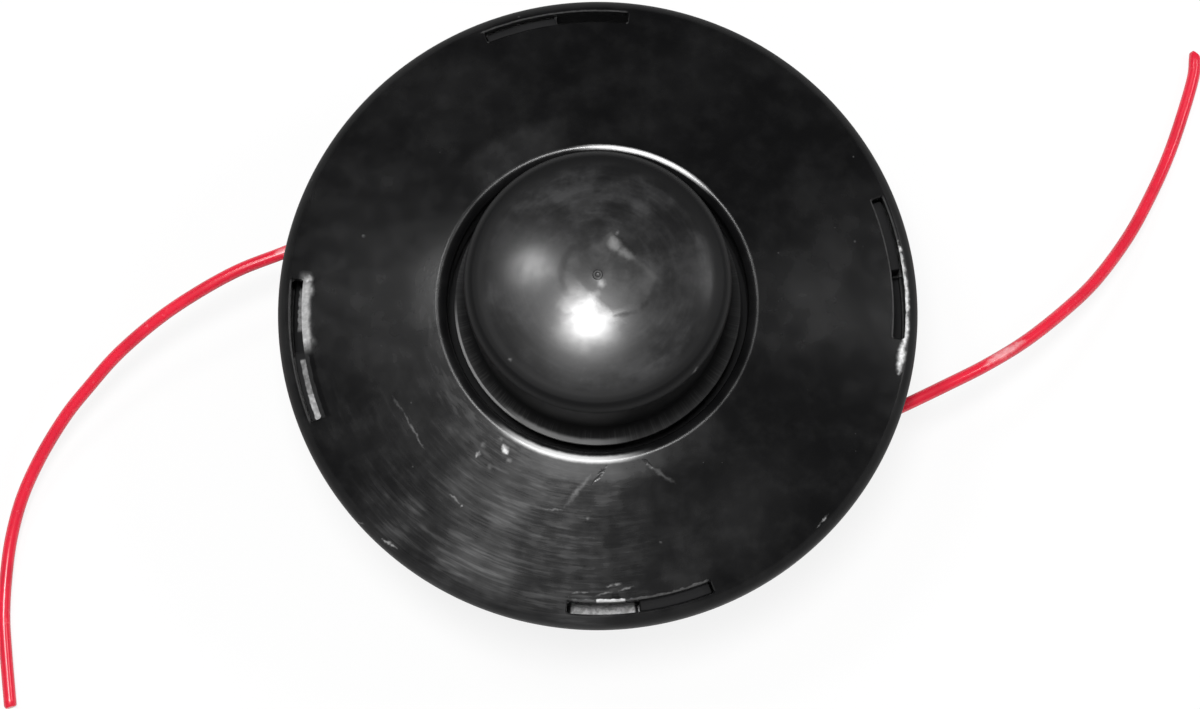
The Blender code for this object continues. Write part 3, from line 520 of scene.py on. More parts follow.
def cover_top(radius):
    """Height of the cover's outer face over a radius, with the rim's rounding."""
    turn_r = RIM_CENTRE_R + RIM_FILLET * math.sin(CONE_ANGLE)
    if radius <= turn_r:
        return RIM_CENTRE_Z + RIM_FILLET * math.cos(CONE_ANGLE) + (turn_r - radius) * CONE_SLOPE
    return RIM_CENTRE_Z + math.sqrt(max(RIM_FILLET**2 - (radius - RIM_CENTRE_R) ** 2, 0.0))


# Finishes

class Wire:
    """A node's output. Python's operators on it add Math nodes."""

    def __init__(self, finish, socket):
        self.finish = finish
        self.socket = socket

    def maths(self, operation, *values):
        return self.finish.node("ShaderNodeMath", {"operation": operation}, dict(enumerate(values)))

    def __add__(self, other):
        return self.maths("ADD", self, other)

    def __sub__(self, other):
        return self.maths("SUBTRACT", self, other)

    def __rsub__(self, other):
        return self.maths("SUBTRACT", other, self)

    def __mul__(self, other):
        return self.maths("MULTIPLY", self, other)

    def __truediv__(self, other):
        return self.maths("DIVIDE", self, other)

    def __pow__(self, other):
        return self.maths("POWER", self, other)

    __radd__ = __add__
    __rmul__ = __mul__


class Nodes:
    """The emptied nodes of a material or a world."""

    def __init__(self, owner):
        owner.use_nodes = True
        self.tree = owner.node_tree
        self.tree.nodes.clear()

    def node(self, kind, settings=None, inputs=None, output=0):
        """Add a node: its settings first, then the values or links of its sockets."""
        made = self.tree.nodes.new(kind)
        for name, value in (settings or {}).items():
            setattr(made, name, value)
        for key, value in (inputs or {}).items():
            if isinstance(value, Wire):
                self.tree.links.new(value.socket, made.inputs[key])
            else:
                made.inputs[key].default_value = value
        return Wire(self, made.outputs[output])

    def ray(self, kind):
        """1 where the light path is of a kind, and 0 elsewhere."""
        return self.node("ShaderNodeLightPath", output=f"Is {kind} Ray")

    def output(self, surface, kind):
        self.tree.links.new(surface.socket, self.tree.nodes.new(kind).inputs["Surface"])

    def noise(self, vector, scale, detail, roughness=0.55):
        return self.node("ShaderNodeTexNoise", inputs={
            "Vector": vector, "Scale": scale, "Detail": detail, "Roughness": roughness})

    def ramp(self, value, low, high):
        """0 under low and 1 over high, smooth between them."""
        return self.node("ShaderNodeMapRange", {"interpolation_type": "SMOOTHSTEP"},
                         {0: value, 1: low, 2: high, 3: 0.0, 4: 1.0})

    def mix(self, share, first, second):
        colours = [c if isinstance(c, Wire) else (*c, 1.0) for c in (first, second)]
        return self.node("ShaderNodeMix", {"data_type": "RGBA"}, {0: share, 6: colours[0], 7: colours[1]},
                         output=2)

    def joined(self, x, y, z):
        return self.node("ShaderNodeCombineXYZ", inputs={0: x, 1: y, 2: z})

    def vector(self, operation, *values, output=0, scale=None):
        inputs = dict(enumerate(values))
        if scale is not None:
            inputs["Scale"] = scale
        return self.node("ShaderNodeVectorMath", {"operation": operation}, inputs, output)


class Finish(Nodes):
    """A material under construction, with places about the head's axis."""

    def __init__(self, name):
        self.material = bpy.data.materials.new(name)
        super().__init__(self.material)
        self.place = self.node("ShaderNodeTexCoord", output="Object")
        self.x, self.y, self.z = (self.node("ShaderNodeSeparateXYZ", inputs={0: self.place}, output=i)
                                  for i in range(3))
        self.radius = (self.x * self.x + self.y * self.y + 1e-12) ** 0.5
        self.across = self.x / self.radius
        self.up = self.y / self.radius
        shake = self.node("ShaderNodeTexNoise", inputs={"Vector": self.place, "Scale": SHAKE_SCALE},
                          output="Color")
        shake = self.vector("SUBTRACT", shake, (0.5, 0.5, 0.5))
        self.shaken = self.vector("ADD", self.place, self.vector("SCALE", shake, scale=SHAKE_REACH))

    def round_lines(self, around, outward, detail):
        """Noise drawn out along circles about the axis."""
        return self.noise(self.joined(self.across * around, self.up * around, self.radius * outward), 1.0,
                          detail)

    def patches(self, scale, detail, low, high):
        """Soft patches of noise, 0 where it is under low and 1 where it is over high."""
        return self.ramp(self.noise(self.place, scale, detail), low, high)

    def ring_marks(self, around, outward, detail, low, high):
        """The same with noise drawn out along circles."""
        return self.ramp(self.round_lines(around, outward, detail), low, high)

    def bearing(self, degrees, inner, outer):
        """1 within the inner angle of a bearing about the axis, and 0 outside the outer angle."""
        angle = math.radians(degrees)
        facing = self.across * math.cos(angle) + self.up * math.sin(angle)
        return self.ramp(facing, math.cos(math.radians(outer)), math.cos(math.radians(inner)))

    def band(self, radii, degrees, soft, ragged=0.0, even=0.93):
        """1 between two radii, in millimetres, and two bearings, with soft or ragged edges.

        It fades towards both ends from the share of its length called even.
        """
        radius = self.radius
        if ragged:
            radius = radius + (self.noise(self.place, RAGGED_SCALE, 3.0) - 0.5) * (ragged * MM)
        low, high = (r * MM for r in radii)
        edge = soft * MM
        middle, half = sum(degrees) / 2, (degrees[1] - degrees[0]) / 2
        within = self.ramp(radius, low - edge, low) * (1 - self.ramp(radius, high, high + edge))
        return within * self.bearing(middle, half * even, half)

    def specks(self, scale, size, share):
        """Small round dots in a share of the cells of a scattered pattern."""
        cells = {"Vector": self.place, "Scale": scale}
        near = self.node("ShaderNodeTexVoronoi", inputs=cells, output="Distance")
        pick = self.node("ShaderNodeTexVoronoi", inputs=cells, output="Color")
        chosen = self.node("ShaderNodeSeparateColor", inputs={0: pick})
        return (1 - self.ramp(near, size * 0.5, size)) * chosen.maths("GREATER_THAN", chosen, 1 - share)

    def spot(self, point, size):
        """A soft dot at a point given in millimetres."""
        gap = self.vector("DISTANCE", self.shaken, tuple(c * MM for c in point), output=1)
        return 1 - self.ramp(gap, 0.0, size * MM)

    def scratch(self, start, end, width):
        """A soft line on the surface between two points given in millimetres, thinner at its ends."""
        a, b = (Vector(p) * MM for p in (start, end))
        way = (b - a).normalized()
        reach = self.vector("SUBTRACT", self.shaken, tuple(a))
        along = self.vector("DOT_PRODUCT", reach, tuple(way), output=1)
        limited = along.maths("MINIMUM", along.maths("MAXIMUM", along, 0.0), (b - a).length)
        foot = self.vector("SCALE", tuple(way), scale=limited)
        gap = self.vector("DISTANCE", reach, foot, output=1)
        taper = (along / (b - a).length * 2.0 - 1.0) ** 2.0 * (width * 0.5 * MM)
        return 1 - self.ramp(gap + taper, 0.0, width * MM)

    def worn(self, spots=(), scratches=(), bands=()):
        """The strongest of the marks in the tables, each row with its strength last: real wear, and painted
        highlights, sheen and shade.
        """
        marks = [self.spot(point, size) * level for point, size, level in spots]
        marks += [self.scratch(start, end, width) * level for start, end, width, level in scratches]
        marks += [self.band(radii, degrees, *rest) * level for radii, degrees, *rest, level in bands]
        return largest(*marks)

    def bump(self, height, distance, strength):
        return self.node("ShaderNodeBump", inputs={
            "Strength": strength, "Distance": distance, "Height": height})

    def done(self, colour, roughness, normal, **others):
        """Join everything into the surface and return the material."""
        inputs = {"Base Color": colour, "Roughness": roughness, "Normal": normal}
        inputs.update({name.replace("_", " "): value for name, value in others.items()})
        self.output(self.node("ShaderNodeBsdfPrincipled", inputs=inputs), "ShaderNodeOutputMaterial")
        return self.material


def largest(*wires):
    total = wires[0]
    for wire in wires[1:]:
        total = total.maths("MAXIMUM", total, wire)
    return total


def cover_finish(settings):
    f = Finish("cover_black")
    cloud = f.patches(48.0, 3.0, 0.4, 0.7)
    mottle = f.patches(210.0, 3.0, 0.38, 0.76)
    fine_arcs = f.ring_marks(5.0, 2300.0, 2.0, 0.36, 0.84)
    arcs = f.ring_marks(7.0, 1100.0, 3.0, 0.42, 0.86)
    smears = f.patches(105.0, 3.0, 0.3, 0.8)
    # Painted sheen: the main light's reflection on the lower left of the cone is painted in as lighter grey,
    # in a sector of bearings, in soft spots and in bands round the lip. Real scuff arcs and smears break it
    # up, and a painted darker band crosses it.
    sheen_spots = f.worn(spots=COVER_SHEEN_SPOTS)
    sheen_sector = f.bearing(249.0, 5.0, 38.0)
    wide_sheen = f.bearing(226.0, 20.0, 80.0)
    shade = f.scratch((2.6, -36.6, 52.0), (3.4, -56.6, 48.0), 2.4)
    scuffs_and_sheen = sheen_sector * (0.22 + smears * 0.35 + sheen_spots * 0.55) * (0.4 + fine_arcs * 0.5 + arcs * 1.0)
    scuffs_and_sheen = (scuffs_and_sheen + wide_sheen * smears * (0.03 + arcs * 0.2)) * (1 - shade * 0.45)
    lip_sheen = largest(f.worn(bands=COVER_LIP_SHEEN),
                     f.band((33.0, 35.6), (152.0, 234.0), 2.2, 1.6, 0.3) * (0.08 + arcs * 0.5))
    scuffs_and_sheen = scuffs_and_sheen + lip_sheen * (0.5 + smears * 0.5)
    # The gouges are dented by the bump and painted darker as painted shade inside them.
    gouges = f.worn(scratches=COVER_GOUGES)
    # Real nicks, specks and scratches, with painted highlights: the glints and the bright arc on the rim, and
    # the lines and band at the slots.
    wear_and_highlights = f.worn(COVER_SPOTS_AND_HIGHLIGHTS, COVER_SCRATCHES_AND_GLINTS, COVER_SLOT_HIGHLIGHTS)
    grain = f.patches(1300.0, 2.0, 0.3, 0.7)
    wear_and_highlights = wear_and_highlights.maths("MINIMUM", wear_and_highlights, 1.0) ** 1.6 * (0.7 + grain * 0.3)
    # Painted highlights on the lip's rounding, mixed to the same white as the wear marks.
    lip = f.worn(bands=COVER_LIP_HIGHLIGHTS)
    specks = f.specks(190.0, 0.05, 0.12) + f.specks(520.0, 0.07, 0.05)
    side = f.ramp(f.radius, 0.0628, 0.0638)
    grey = f.mix(cloud * 0.45 + mottle * 0.3, settings.colour, settings.haze)
    grey = f.mix(scuffs_and_sheen ** 1.5, grey, SCUFF_AND_SHEEN_GREY)
    grey = f.mix(specks * 0.5, grey, SPECK_GREY)
    grey = f.mix(gouges * 0.7, grey, GOUGE_SHADE_BLACK)
    grey = f.mix(largest(wear_and_highlights, lip ** 1.8), grey, WEAR_AND_HIGHLIGHT_WHITE)
    roughness = 0.19 + cloud * 0.05 + mottle * 0.04 + scuffs_and_sheen * 0.25 + wear_and_highlights * 0.3 + side * 0.4
    height = f.noise(f.place, 3000.0, 2.0) * 0.25 + arcs * 0.3 * (0.15 + sheen_sector) - gouges * 3.0
    return f.done(grey, roughness, f.bump(height, 0.00002, 0.6), Specular_IOR_Level=0.3)


def knob_finish(settings):
    f = Finish("knob_black")
    swirl = f.ring_marks(1.9, 230.0, 4.0, 0.38, 0.68)
    cloud = f.ramp(f.noise(f.place, 150.0, 4.0, 0.6), 0.36, 0.68)
    rings = f.ring_marks(1.2, 1000.0, 2.0, 0.45, 0.7)
    top = f.ramp(f.z, 0.0752, 0.0768)
    shift = (f.noise(f.place, 260.0, 2.0) - 0.5) * 0.0022
    sides = []
    for degrees, reach in KNOB_PATCH_SIDES:
        angle = math.radians(degrees)
        sides.append(f.x * math.cos(angle) + f.y * math.sin(angle) - reach * MM + shift)
    gap = largest(*sides)
    patch = (1 - f.ramp(gap, -0.0006, 0.0005)) * top
    rim = f.ramp(f.x + f.y, 0.0085, 0.0115) * patch
    streaks = f.noise(f.joined(f.across * 90.0, f.up * 90.0, f.z * 40.0), 1.0, 2.0)
    skirt = 1 - f.ramp(f.z, 0.0522, 0.0535)
    low_skirt = 1 - f.ramp(f.z, 0.0525, 0.054)
    foot = 1 - f.ramp(f.z, 0.0515, 0.053)
    # Real specks and marks, with painted highlights: a glint on the dome's rounding and lit strips on the
    # skirt's lower left.
    wear_and_highlights = largest(f.worn(KNOB_SPOTS, KNOB_SCRATCHES_AND_GLINT),
                   f.band((28.2, 28.7), (222.0, 288.0), 0.9, 0.3, 0.2) * low_skirt * 0.34,
                   f.band((28.5, 29.0), (174.0, 250.0), 0.25, 0.1, 0.4) * foot * 0.4)
    dark_lines = f.worn(scratches=KNOB_DARK_LINES, bands=[((6.9, 7.4), (108.0, 222.0), 0.9, 1.2, 0.4, 0.6)])
    inside = top * (1 - f.ramp(f.radius, 0.0215, 0.0245))
    share = inside * (swirl * 0.45 + cloud * 0.5 + rings * 0.12 + 0.06) ** 1.5 + 0.04
    grey = f.mix(share, settings.colour, settings.haze)
    grey = f.mix(patch * (0.25 + cloud * 0.4) + rim * 0.4, grey, RUB_GREY)
    grey = f.mix(skirt * f.ramp(streaks, 0.45, 0.7) * 0.3, grey, (0.05, 0.05, 0.05))
    grey = f.mix(dark_lines * 0.75, grey, (0.004, 0.004, 0.004))
    grey = f.mix(wear_and_highlights ** 1.5, grey, (0.7, 0.7, 0.7))
    roughness = 0.46 - inside * (0.16 - cloud * 0.06) + skirt * 0.14
    height = f.noise(f.place, 2600.0, 2.0) * 0.2 + patch * 0.6 + swirl * 0.3
    coat = (1.0 - swirl * 0.38 - cloud * 0.32) * (1 - patch * 0.8) * (1 - dark_lines * 0.7) * inside
    return f.done(grey, roughness, f.bump(height, 0.00002, 0.5), Coat_Weight=coat, Coat_Roughness=0.21,
                  Specular_IOR_Level=0.16)


def housing_finish(settings):
    f = Finish("housing_black")
    cloud = f.patches(70.0, 4.0, 0.4, 0.7)
    spark = f.patches(1800.0, 3.0, 0.3, 0.8)
    rub = f.ring_marks(3.0, 700.0, 3.0, 0.58, 0.74) * (1 - f.ramp(f.z, 0.003, 0.006))
    specks = f.specks(260.0, 0.06, 0.2)
    high = f.ramp(f.z, 0.0325, 0.0335)
    # Painted highlights: the lit shoulder and hooks in the slots are painted nearly white.
    wear_and_highlights = f.worn(bands=HOOK_HIGHLIGHTS) * high
    wear_and_highlights = wear_and_highlights * (0.55 + f.patches(1100.0, 3.0, 0.35, 0.65) * 0.45)
    grey = f.mix(cloud * 0.5 + spark * 0.2, settings.colour, (0.02, 0.02, 0.021))
    grey = f.mix(rub * 0.5 + specks * 0.4, grey, RUB_GREY)
    grey = f.mix(wear_and_highlights, grey, WEAR_AND_HIGHLIGHT_WHITE)
    roughness = 0.62 + cloud * 0.12 + spark * 0.08
    return f.done(grey, roughness, f.bump(spark, 0.000018, 0.6), Specular_IOR_Level=0.15)


def spool_finish(settings):
    f = Finish("spool_grey")
    cloud = f.patches(80.0, 4.0, 0.4, 0.7)
    grain = f.noise(f.place, 1600.0, 3.0)
    rub = f.ring_marks(2.5, 900.0, 3.0, 0.56, 0.72)
    grey = f.mix(cloud * 0.5 + rub * 0.3, settings.spool_colour, (0.022, 0.022, 0.023))
    return f.done(grey, 0.7 + cloud * 0.12, f.bump(grain, 0.00002, 0.5), Specular_IOR_Level=0.15)


def line_finish(settings):
    f = Finish("line_red")
    cloud = f.noise(f.place, 130.0, 3.0)
    scuffs = f.patches(900.0, 4.0, 0.62, 0.74)
    deep = tuple(c * 0.8 for c in settings.colour)
    red = f.mix(f.ramp(cloud, 0.35, 0.7) * 0.7, settings.colour, deep)
    red = f.mix(scuffs * 0.25, red, (0.85, 0.2, 0.24))
    # Painted highlights on the two tails.
    shine = f.worn(scratches=LINE_SHINE)
    red = f.mix(shine * 0.6, red, (0.95, 0.62, 0.64))
    return f.done(red, 0.24 + scuffs * 0.2, f.bump(f.noise(f.place, 1400.0, 2.0), 0.00002, 0.4),
                  Subsurface_Weight=0.08, Subsurface_Radius=(0.001, 0.0002, 0.0002))


def metal_finish(name, colour, dull, rough, lines):
    """Machined or plated steel with turning marks and a little tarnish."""
    f = Finish(name)
    marks = f.round_lines(4.0, lines, 2.0)
    tarnish = f.patches(220.0, 5.0, 0.45, 0.75)
    grey = f.mix(tarnish * 0.6 + marks * 0.2, colour, dull)
    roughness = rough + tarnish * 0.18 + marks * 0.1
    return f.done(grey, roughness, f.bump(marks, 0.00001, 0.5), Metallic=1.0)


# Operators

class LineTails(bpy.types.Operator):
    """Make the two free ends of the line as cords."""

    bl_idname = "trimmer_head.line_tails"
    bl_label = "Line tails"

    def execute(self, context):
        settings = context.scene.trimmer_line
        finish = line_finish(settings)
        for side, route in TAIL_ROUTES.items():
            points = smooth_route(route, TAIL_SPACING)
            onward = Matrix.Rotation(TIP_CUTS[side], 3, "Z") @ (points[-1] - points[-2])
            points.append(points[-1] + onward * 0.4)
            tail = wire_curve(f"tail_{side}", points, settings.diameter, TAIL_ROUNDNESS)
            tail.data.splines[0].points[-1].radius = 0.82
            tail.data.materials.append(finish)
            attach(tail, HOUSING_BODY)
            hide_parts(f"line_tail_{side}")
        return {"FINISHED"}


class LineCoils(bpy.types.Operator):
    """Wind the line in both chambers of the spool."""

    bl_idname = "trimmer_head.line_coils"
    bl_label = "Line coils"

    def execute(self, context):
        settings = context.scene.trimmer_line
        finish = bpy.data.materials["line_red"]
        thick = settings.diameter / MM
        for name, low, leave_degrees, leave_z in (
            ("lower", LOWER_CHAMBER_Z + 0.3, 157.0, EYELET_Z - 0.8),
            ("upper", UPPER_CHAMBER_Z + 0.3, 336.5, EYELET_Z + 1.4),
        ):
            points = self.winding(settings.turns, thick, low, leave_degrees, leave_z)
            coil = wire_mesh(f"wound_line_{name}", points, thick - 0.04)
            finished(coil, SPOOL_BODY, finish, "line_red", f"line_coil_{name}", sharp=60.0)
        return {"FINISHED"}

    def winding(self, turns, thick, low, leave_degrees, leave_z):
        """Layers of level turns, each crossing to its next row in the last part of its turn."""
        rows, steps, lead_steps = 4, 56, 12
        rising = leave_z > low
        inner_r, clear_r, edge_r = CORE_R + 0.3, 48.9, 53.8
        leave_r = inner_r + 2.5 * thick
        span = math.degrees(math.acos(leave_r / edge_r))

        def seat(turn):
            layer, row = divmod(min(turn, turns - 1), rows)
            up = (layer % 2 == 0) == rising
            height = low + thick * (0.5 + (row if up else rows - 1 - row))
            return inner_r + thick * (layer + 0.5), height

        points = []
        for i in range(turns * steps + 1):
            turn, part = divmod(i, steps)
            share = smoothstep(0.82, 1.0, part / steps) if turn < turns - 1 else 0.0
            (r0, z0), (r1, z1) = seat(turn), seat(turn + 1)
            angle = math.radians(leave_degrees - span + 360.0 * (i / steps - turns))
            radius = r0 + (r1 - r0) * share
            points.append((radius * math.cos(angle), radius * math.sin(angle), z0 + (z1 - z0) * share))
        start = Vector(points[-1])
        angle = math.radians(leave_degrees)
        end = Vector((edge_r * math.cos(angle), edge_r * math.sin(angle), leave_z))
        clear = math.sqrt(clear_r**2 - leave_r**2) / math.sqrt(edge_r**2 - leave_r**2)
        for i in range(1, lead_steps + 1):
            share = i / lead_steps
            point = start.lerp(end, share)
            point.z = start.z + (leave_z - start.z) * smoothstep(clear, 1.15, share)
            points.append(tuple(point))
        return points


class Cover(bpy.types.Operator):
    """Make the slotted cover with its lip, collar, cams and ledges."""

    bl_idname = "trimmer_head.cover"
    bl_label = "Cover"

    def execute(self, context):
        settings = context.scene.trimmer_cover
        facing = 90.0 - math.degrees(CONE_ANGLE)
        lip_r = LIP_CENTRE_R + LIP_ROUNDING * math.sin(CONE_ANGLE)
        lip_z = cover_top(lip_r) - LIP_ROUNDING * math.cos(CONE_ANGLE)
        wall, skirt_in_r, skirt_lip_r, collar_z = 2.5, 62.7, 62.25, 44.0
        profile = [
            *arc(LIP_CENTRE_R, lip_z, LIP_ROUNDING, 180.0, facing, 16),
            *((r, cover_top(r)) for r in (40.0, 46.0, 52.0, 58.0)),
            *arc(RIM_CENTRE_R, RIM_CENTRE_Z, RIM_FILLET, facing, 0.0, 14),
            *rounded([
                (65.0, 42.0), (64.1, SKIRT_Z, 0.5), (skirt_lip_r, SKIRT_Z, 0.2), (skirt_lip_r, 36.2),
                (skirt_in_r, 36.7), (skirt_in_r, cover_top(skirt_in_r) - wall, 0.8),
                (COLLAR_R, cover_top(COLLAR_R) - wall, 1.0), (COLLAR_R, collar_z, 0.4),
                (HOLE_R, collar_z, 0.6), (HOLE_R, 48.0),
            ], closed=False),
        ]
        cover = turned("cover_moulding", profile, 288)
        ledges = sectors("ledges", 4, (SLOT_R[0], 63.0), (SKIRT_Z + 0.4, SKIRT_Z + 3.0), (7.7, 22.0))
        cams = sectors("cams", 6, (COLLAR_R - 0.4, 41.0), (SPOOL_TOP_Z + 0.3, 49.3), CAM_DEGREES)
        cover = boolean(cover, "UNION", ledges, cams)
        slots = [self.slot_tool(i, settings) for i in range(4)]
        cover = boolean(cover, "DIFFERENCE", *slots)
        finished(cover, HOUSING_BODY, cover_finish(settings), "cover_black", "cover", sharp=25.0)
        return {"FINISHED"}

    def slot_tool(self, index, settings):
        """The cutter of one slot. It widens at the cover's face, which leaves a broken edge there."""
        edge = settings.edge / MM
        worn = settings.worn_edge / MM if index == 2 else edge
        rings = []
        for inner, outer, rise in (
            (0.0, 0.0, None), (0.0, 0.0, -0.9), (0.0, 0.0, -edge), (worn, edge, 0.0),
            (worn + 0.6, edge + 0.6, 0.6),
        ):
            rings.append(self.outline(index * 90.0, inner, outer, rise))
        return grid_mesh(f"slot_{index}", rings)

    def outline(self, bearing, inner, outer, rise):
        """One level of the cutter: the slot's outline, widened, at a height over the cover's face."""
        spread = math.degrees(outer / SLOT_MIDDLE_R)
        corner = math.degrees(SLOT_CORNER / SLOT_MIDDLE_R)
        start, end = SLOT_DEGREES[0] - spread, SLOT_DEGREES[1] + spread
        between = [start + (end - start) * i / SLOT_STEPS for i in range(1, SLOT_STEPS)]

        def side(radius, tuck):
            whole = [(radius, degrees) for degrees in (start + corner, *between, end - corner)]
            return [(radius + tuck, start), *whole, (radius + tuck, end)]

        path = [*side(SLOT_R[0] - inner, SLOT_CORNER), *reversed(side(SLOT_R[1] + outer, -SLOT_CORNER))]
        ring = []
        for radius, degrees in path:
            angle = math.radians(bearing + degrees)
            height = 41.0 if rise is None else cover_top(min(radius, 64.4)) + rise
            ring.append(Vector((radius * math.cos(angle), radius * math.sin(angle), height)) * MM)
        return ring


class Knob(bpy.types.Operator):
    """Make the bump knob with its flared skirt and the mark where it was moulded."""

    bl_idname = "trimmer_head.knob"
    bl_label = "Knob"

    def execute(self, context):
        crown_half, crown, sink = 23.4, 3.6, 0.25
        shoulder, waist_r, flare = 3.0, 25.6, 3.2
        skirt_r, skirt_z, foot_z = 28.9, 51.5, 50.1
        sleeve_r, sleeve_z, bore_r, bead_r = 27.0, 42.2, 23.7, 23.1
        crown_radius = (crown_half**2 + crown**2) / (2 * crown)
        half_degrees = math.degrees(math.asin(crown_half / crown_radius))
        edge_z = KNOB_TOP_Z - crown
        outer = [
            (0.0, KNOB_TOP_Z - sink), (0.35, KNOB_TOP_Z - 0.22), (0.55, KNOB_TOP_Z), (0.85, KNOB_TOP_Z),
            (1.05, KNOB_TOP_Z - sink), (1.5, KNOB_TOP_Z - 0.27),
            *arc(0.0, KNOB_TOP_Z - sink - crown_radius, crown_radius, 88.4, 90.0 - half_degrees, 18),
            *arc(crown_half, edge_z - sink - shoulder, shoulder, 90.0 - half_degrees, 0.0, 12)[1:],
            (26.2, 66.0),
            *arc(waist_r + flare, skirt_z + flare, flare, 180.0, 270.0, 10)[:-1],
        ]
        inner = rounded([
            (28.6, skirt_z), (skirt_r, skirt_z, 0.35), (skirt_r, foot_z, 0.35), (sleeve_r, foot_z, 0.3),
            (sleeve_r, sleeve_z, 0.4), (bore_r, sleeve_z, 0.3), (bore_r, 49.15), (bead_r, 49.75),
            (bead_r, 50.85), (bore_r, 51.45), (bore_r, 72.85, 1.2), (20.4, 73.1, 2.0), (0.0, 76.4),
        ], closed=False)
        knob = turned("knob_moulding", outer + inner, 256, closed=False)
        settings = context.scene.trimmer_knob
        finished(knob, SPOOL_BODY, knob_finish(settings), "knob_black", "knob", sharp=35.0)
        return {"FINISHED"}


class Housing(bpy.types.Operator):
    """Make the housing with its ribs, cams, hooks and eyelet bosses."""

    bl_idname = "trimmer_head.housing"
    bl_label = "Housing"

    def execute(self, context):
        bore_r, wall_r, shoulder_r, hub_r, ring_in_r, ring_out_r = 8.3, 57.0, 62.6, 17.0, 41.5, 44.0
        tube_z, wall_z, shoulder_z, base_z = 46.0, 43.4, 34.7, 4.0
        profile = rounded([
            (0.0, 28.5), (bore_r, 28.5, 0.8), (bore_r, tube_z, 0.4), (TUBE_R, tube_z, 0.6),
            (TUBE_R, FLOOR_Z, 1.0), (wall_r, FLOOR_Z, 2.6), (wall_r, wall_z, 0.4), (HOUSING_R, wall_z, 0.5),
            (HOUSING_R, shoulder_z, 0.2), (shoulder_r, shoulder_z, 0.5), (shoulder_r, 33.1, 0.4),
            (HOUSING_R, 31.55, 0.8), (HOUSING_R, base_z, 5.0), (ring_out_r, base_z, 0.6),
            (ring_out_r, 0.0, 0.5), (ring_in_r, 0.0, 0.5), (ring_in_r, base_z, 0.6), (hub_r, base_z, 0.6),
            (hub_r, 0.0, 0.5), (bore_r, 0.0), (bore_r, 26.0), (0.0, 26.0),
        ], closed=False, count=5)
        housing = turned("housing_moulding", profile, 180, closed=False)
        ribs = []
        rib_size, rib_place, first_rib_degrees = (25.4, 1.8, 3.8), (29.25, 0.0, 2.7), 15.3
        for i in range(12):
            turn = Matrix.Rotation(math.radians(i * 30.0 + first_rib_degrees), 4, "Z")
            ribs.append(block(f"rib_{i}", rib_size, turn @ Matrix.Translation(rib_place), 0.35))
        cams = sectors("floor_cams", 6, (18.8, 23.3), (FLOOR_Z - 0.4, FLOOR_Z + 5.0), LOWER_CAM_DEGREES,
                       edge=0.3)
        hook_top = cover_top(SLOT_R[0]) - 2.8
        hooks = sectors("hooks", 4, (HOUSING_R - 0.4, 62.1), (SKIRT_Z + 3.3, hook_top), HOOK_DEGREES,
                        edge=0.3)
        bosses, holes = [], []
        for side, degrees in EYELET_DEGREES.items():
            boss = turned(f"boss_{side}", rounded([
                (0.0, 60.4), (8.3, 60.4, 0.5), (8.6, 57.7), (0.0, 57.7)], closed=False), 64, closed=False)
            hole = turned(f"hole_{side}", [
                (0.0, 64.5), (7.4, 64.5), (7.4, 60.55), (6.3, 60.55), (6.3, 53.0), (0.0, 53.0)],
                64, closed=False)
            bosses.append(laid(boss, degrees, EYELET_Z))
            holes.append(laid(hole, degrees, EYELET_Z))
        pocket = turned("pocket", [(0.0, 3.3), (10.74, 3.3), (10.74, -2.0), (0.0, -2.0)], 6, closed=False)
        housing = boolean(housing, "UNION", *ribs, cams, hooks, *bosses)
        housing = boolean(housing, "DIFFERENCE", *holes, pocket)
        settings = context.scene.trimmer_housing
        finished(housing, HOUSING_BODY, housing_finish(settings), "housing_black", "housing", sharp=28.0)
        return {"FINISHED"}


class Insert(bpy.types.Operator):
    """Make the steel insert with its hexagon and its left-hand thread."""

    bl_idname = "trimmer_head.insert"
    bl_label = "Threaded insert"

    def execute(self, context):
        pitch = context.scene.trimmer_housing.thread_pitch / MM
        hexagon_r, face_r, corner_r, barrel_r, barrel_z = 10.39, 9.6, 10.9, 8.0, 25.7
        insert = turned("threaded_insert", [
            (0.0, 3.0), (hexagon_r, 3.0), (hexagon_r, 0.3), (0.0, 0.3)], 6, closed=False)
        corners = turned("corner_chamfer", [
            (0.0, 3.4), (face_r, 3.4), (corner_r, 2.65), (corner_r, 0.65), (face_r, -0.1), (0.0, -0.1)],
            96, closed=False)
        insert = boolean(insert, "INTERSECT", corners)
        barrel = turned("barrel", rounded([
            (0.0, barrel_z), (barrel_r, barrel_z, 0.4), (barrel_r, 1.65), (0.0, 1.65)], closed=False),
            96, closed=False)
        insert = boolean(insert, "UNION", barrel)
        mouth = turned("mouth", [(0.0, 2.2), (3.5, 2.2), (6.4, -0.7), (0.0, -0.7)], 64, closed=False)
        insert = boolean(insert, "DIFFERENCE", self.thread_tool(pitch), mouth)
        finish = metal_finish("bright_steel", (0.56, 0.56, 0.55), (0.3, 0.29, 0.28), 0.26, 3000.0)
        finished(insert, HOUSING_BODY, finish, "steel", "arbor_insert", sharp=30.0)
        return {"FINISHED"}

    def thread_tool(self, pitch):
        """The cutter of a left-hand thread from 4.4 mm at its crests to 4.95 mm at its roots."""
        rings = []
        sides, rows_a_turn = 48, 10
        low, high, crest_r, thread_depth = -1.0, 27.0, 4.4, 0.55
        for row in range(int((high - low) / pitch * rows_a_turn) + 1):
            z = low + row * pitch / rows_a_turn
            ring = []
            for i in range(sides):
                phase = (z / pitch + i / sides) % 1.0
                depth = min(max(abs(phase - 0.5) * 2.0 * 1.3 - 0.15, 0.0), 1.0)
                radius = crest_r + thread_depth * depth
                angle = math.tau * (i + 0.37) / sides
                ring.append(Vector((radius * math.cos(angle), radius * math.sin(angle), z)) * MM)
            rings.append(ring)
        return grid_mesh("thread_cutter", rings)


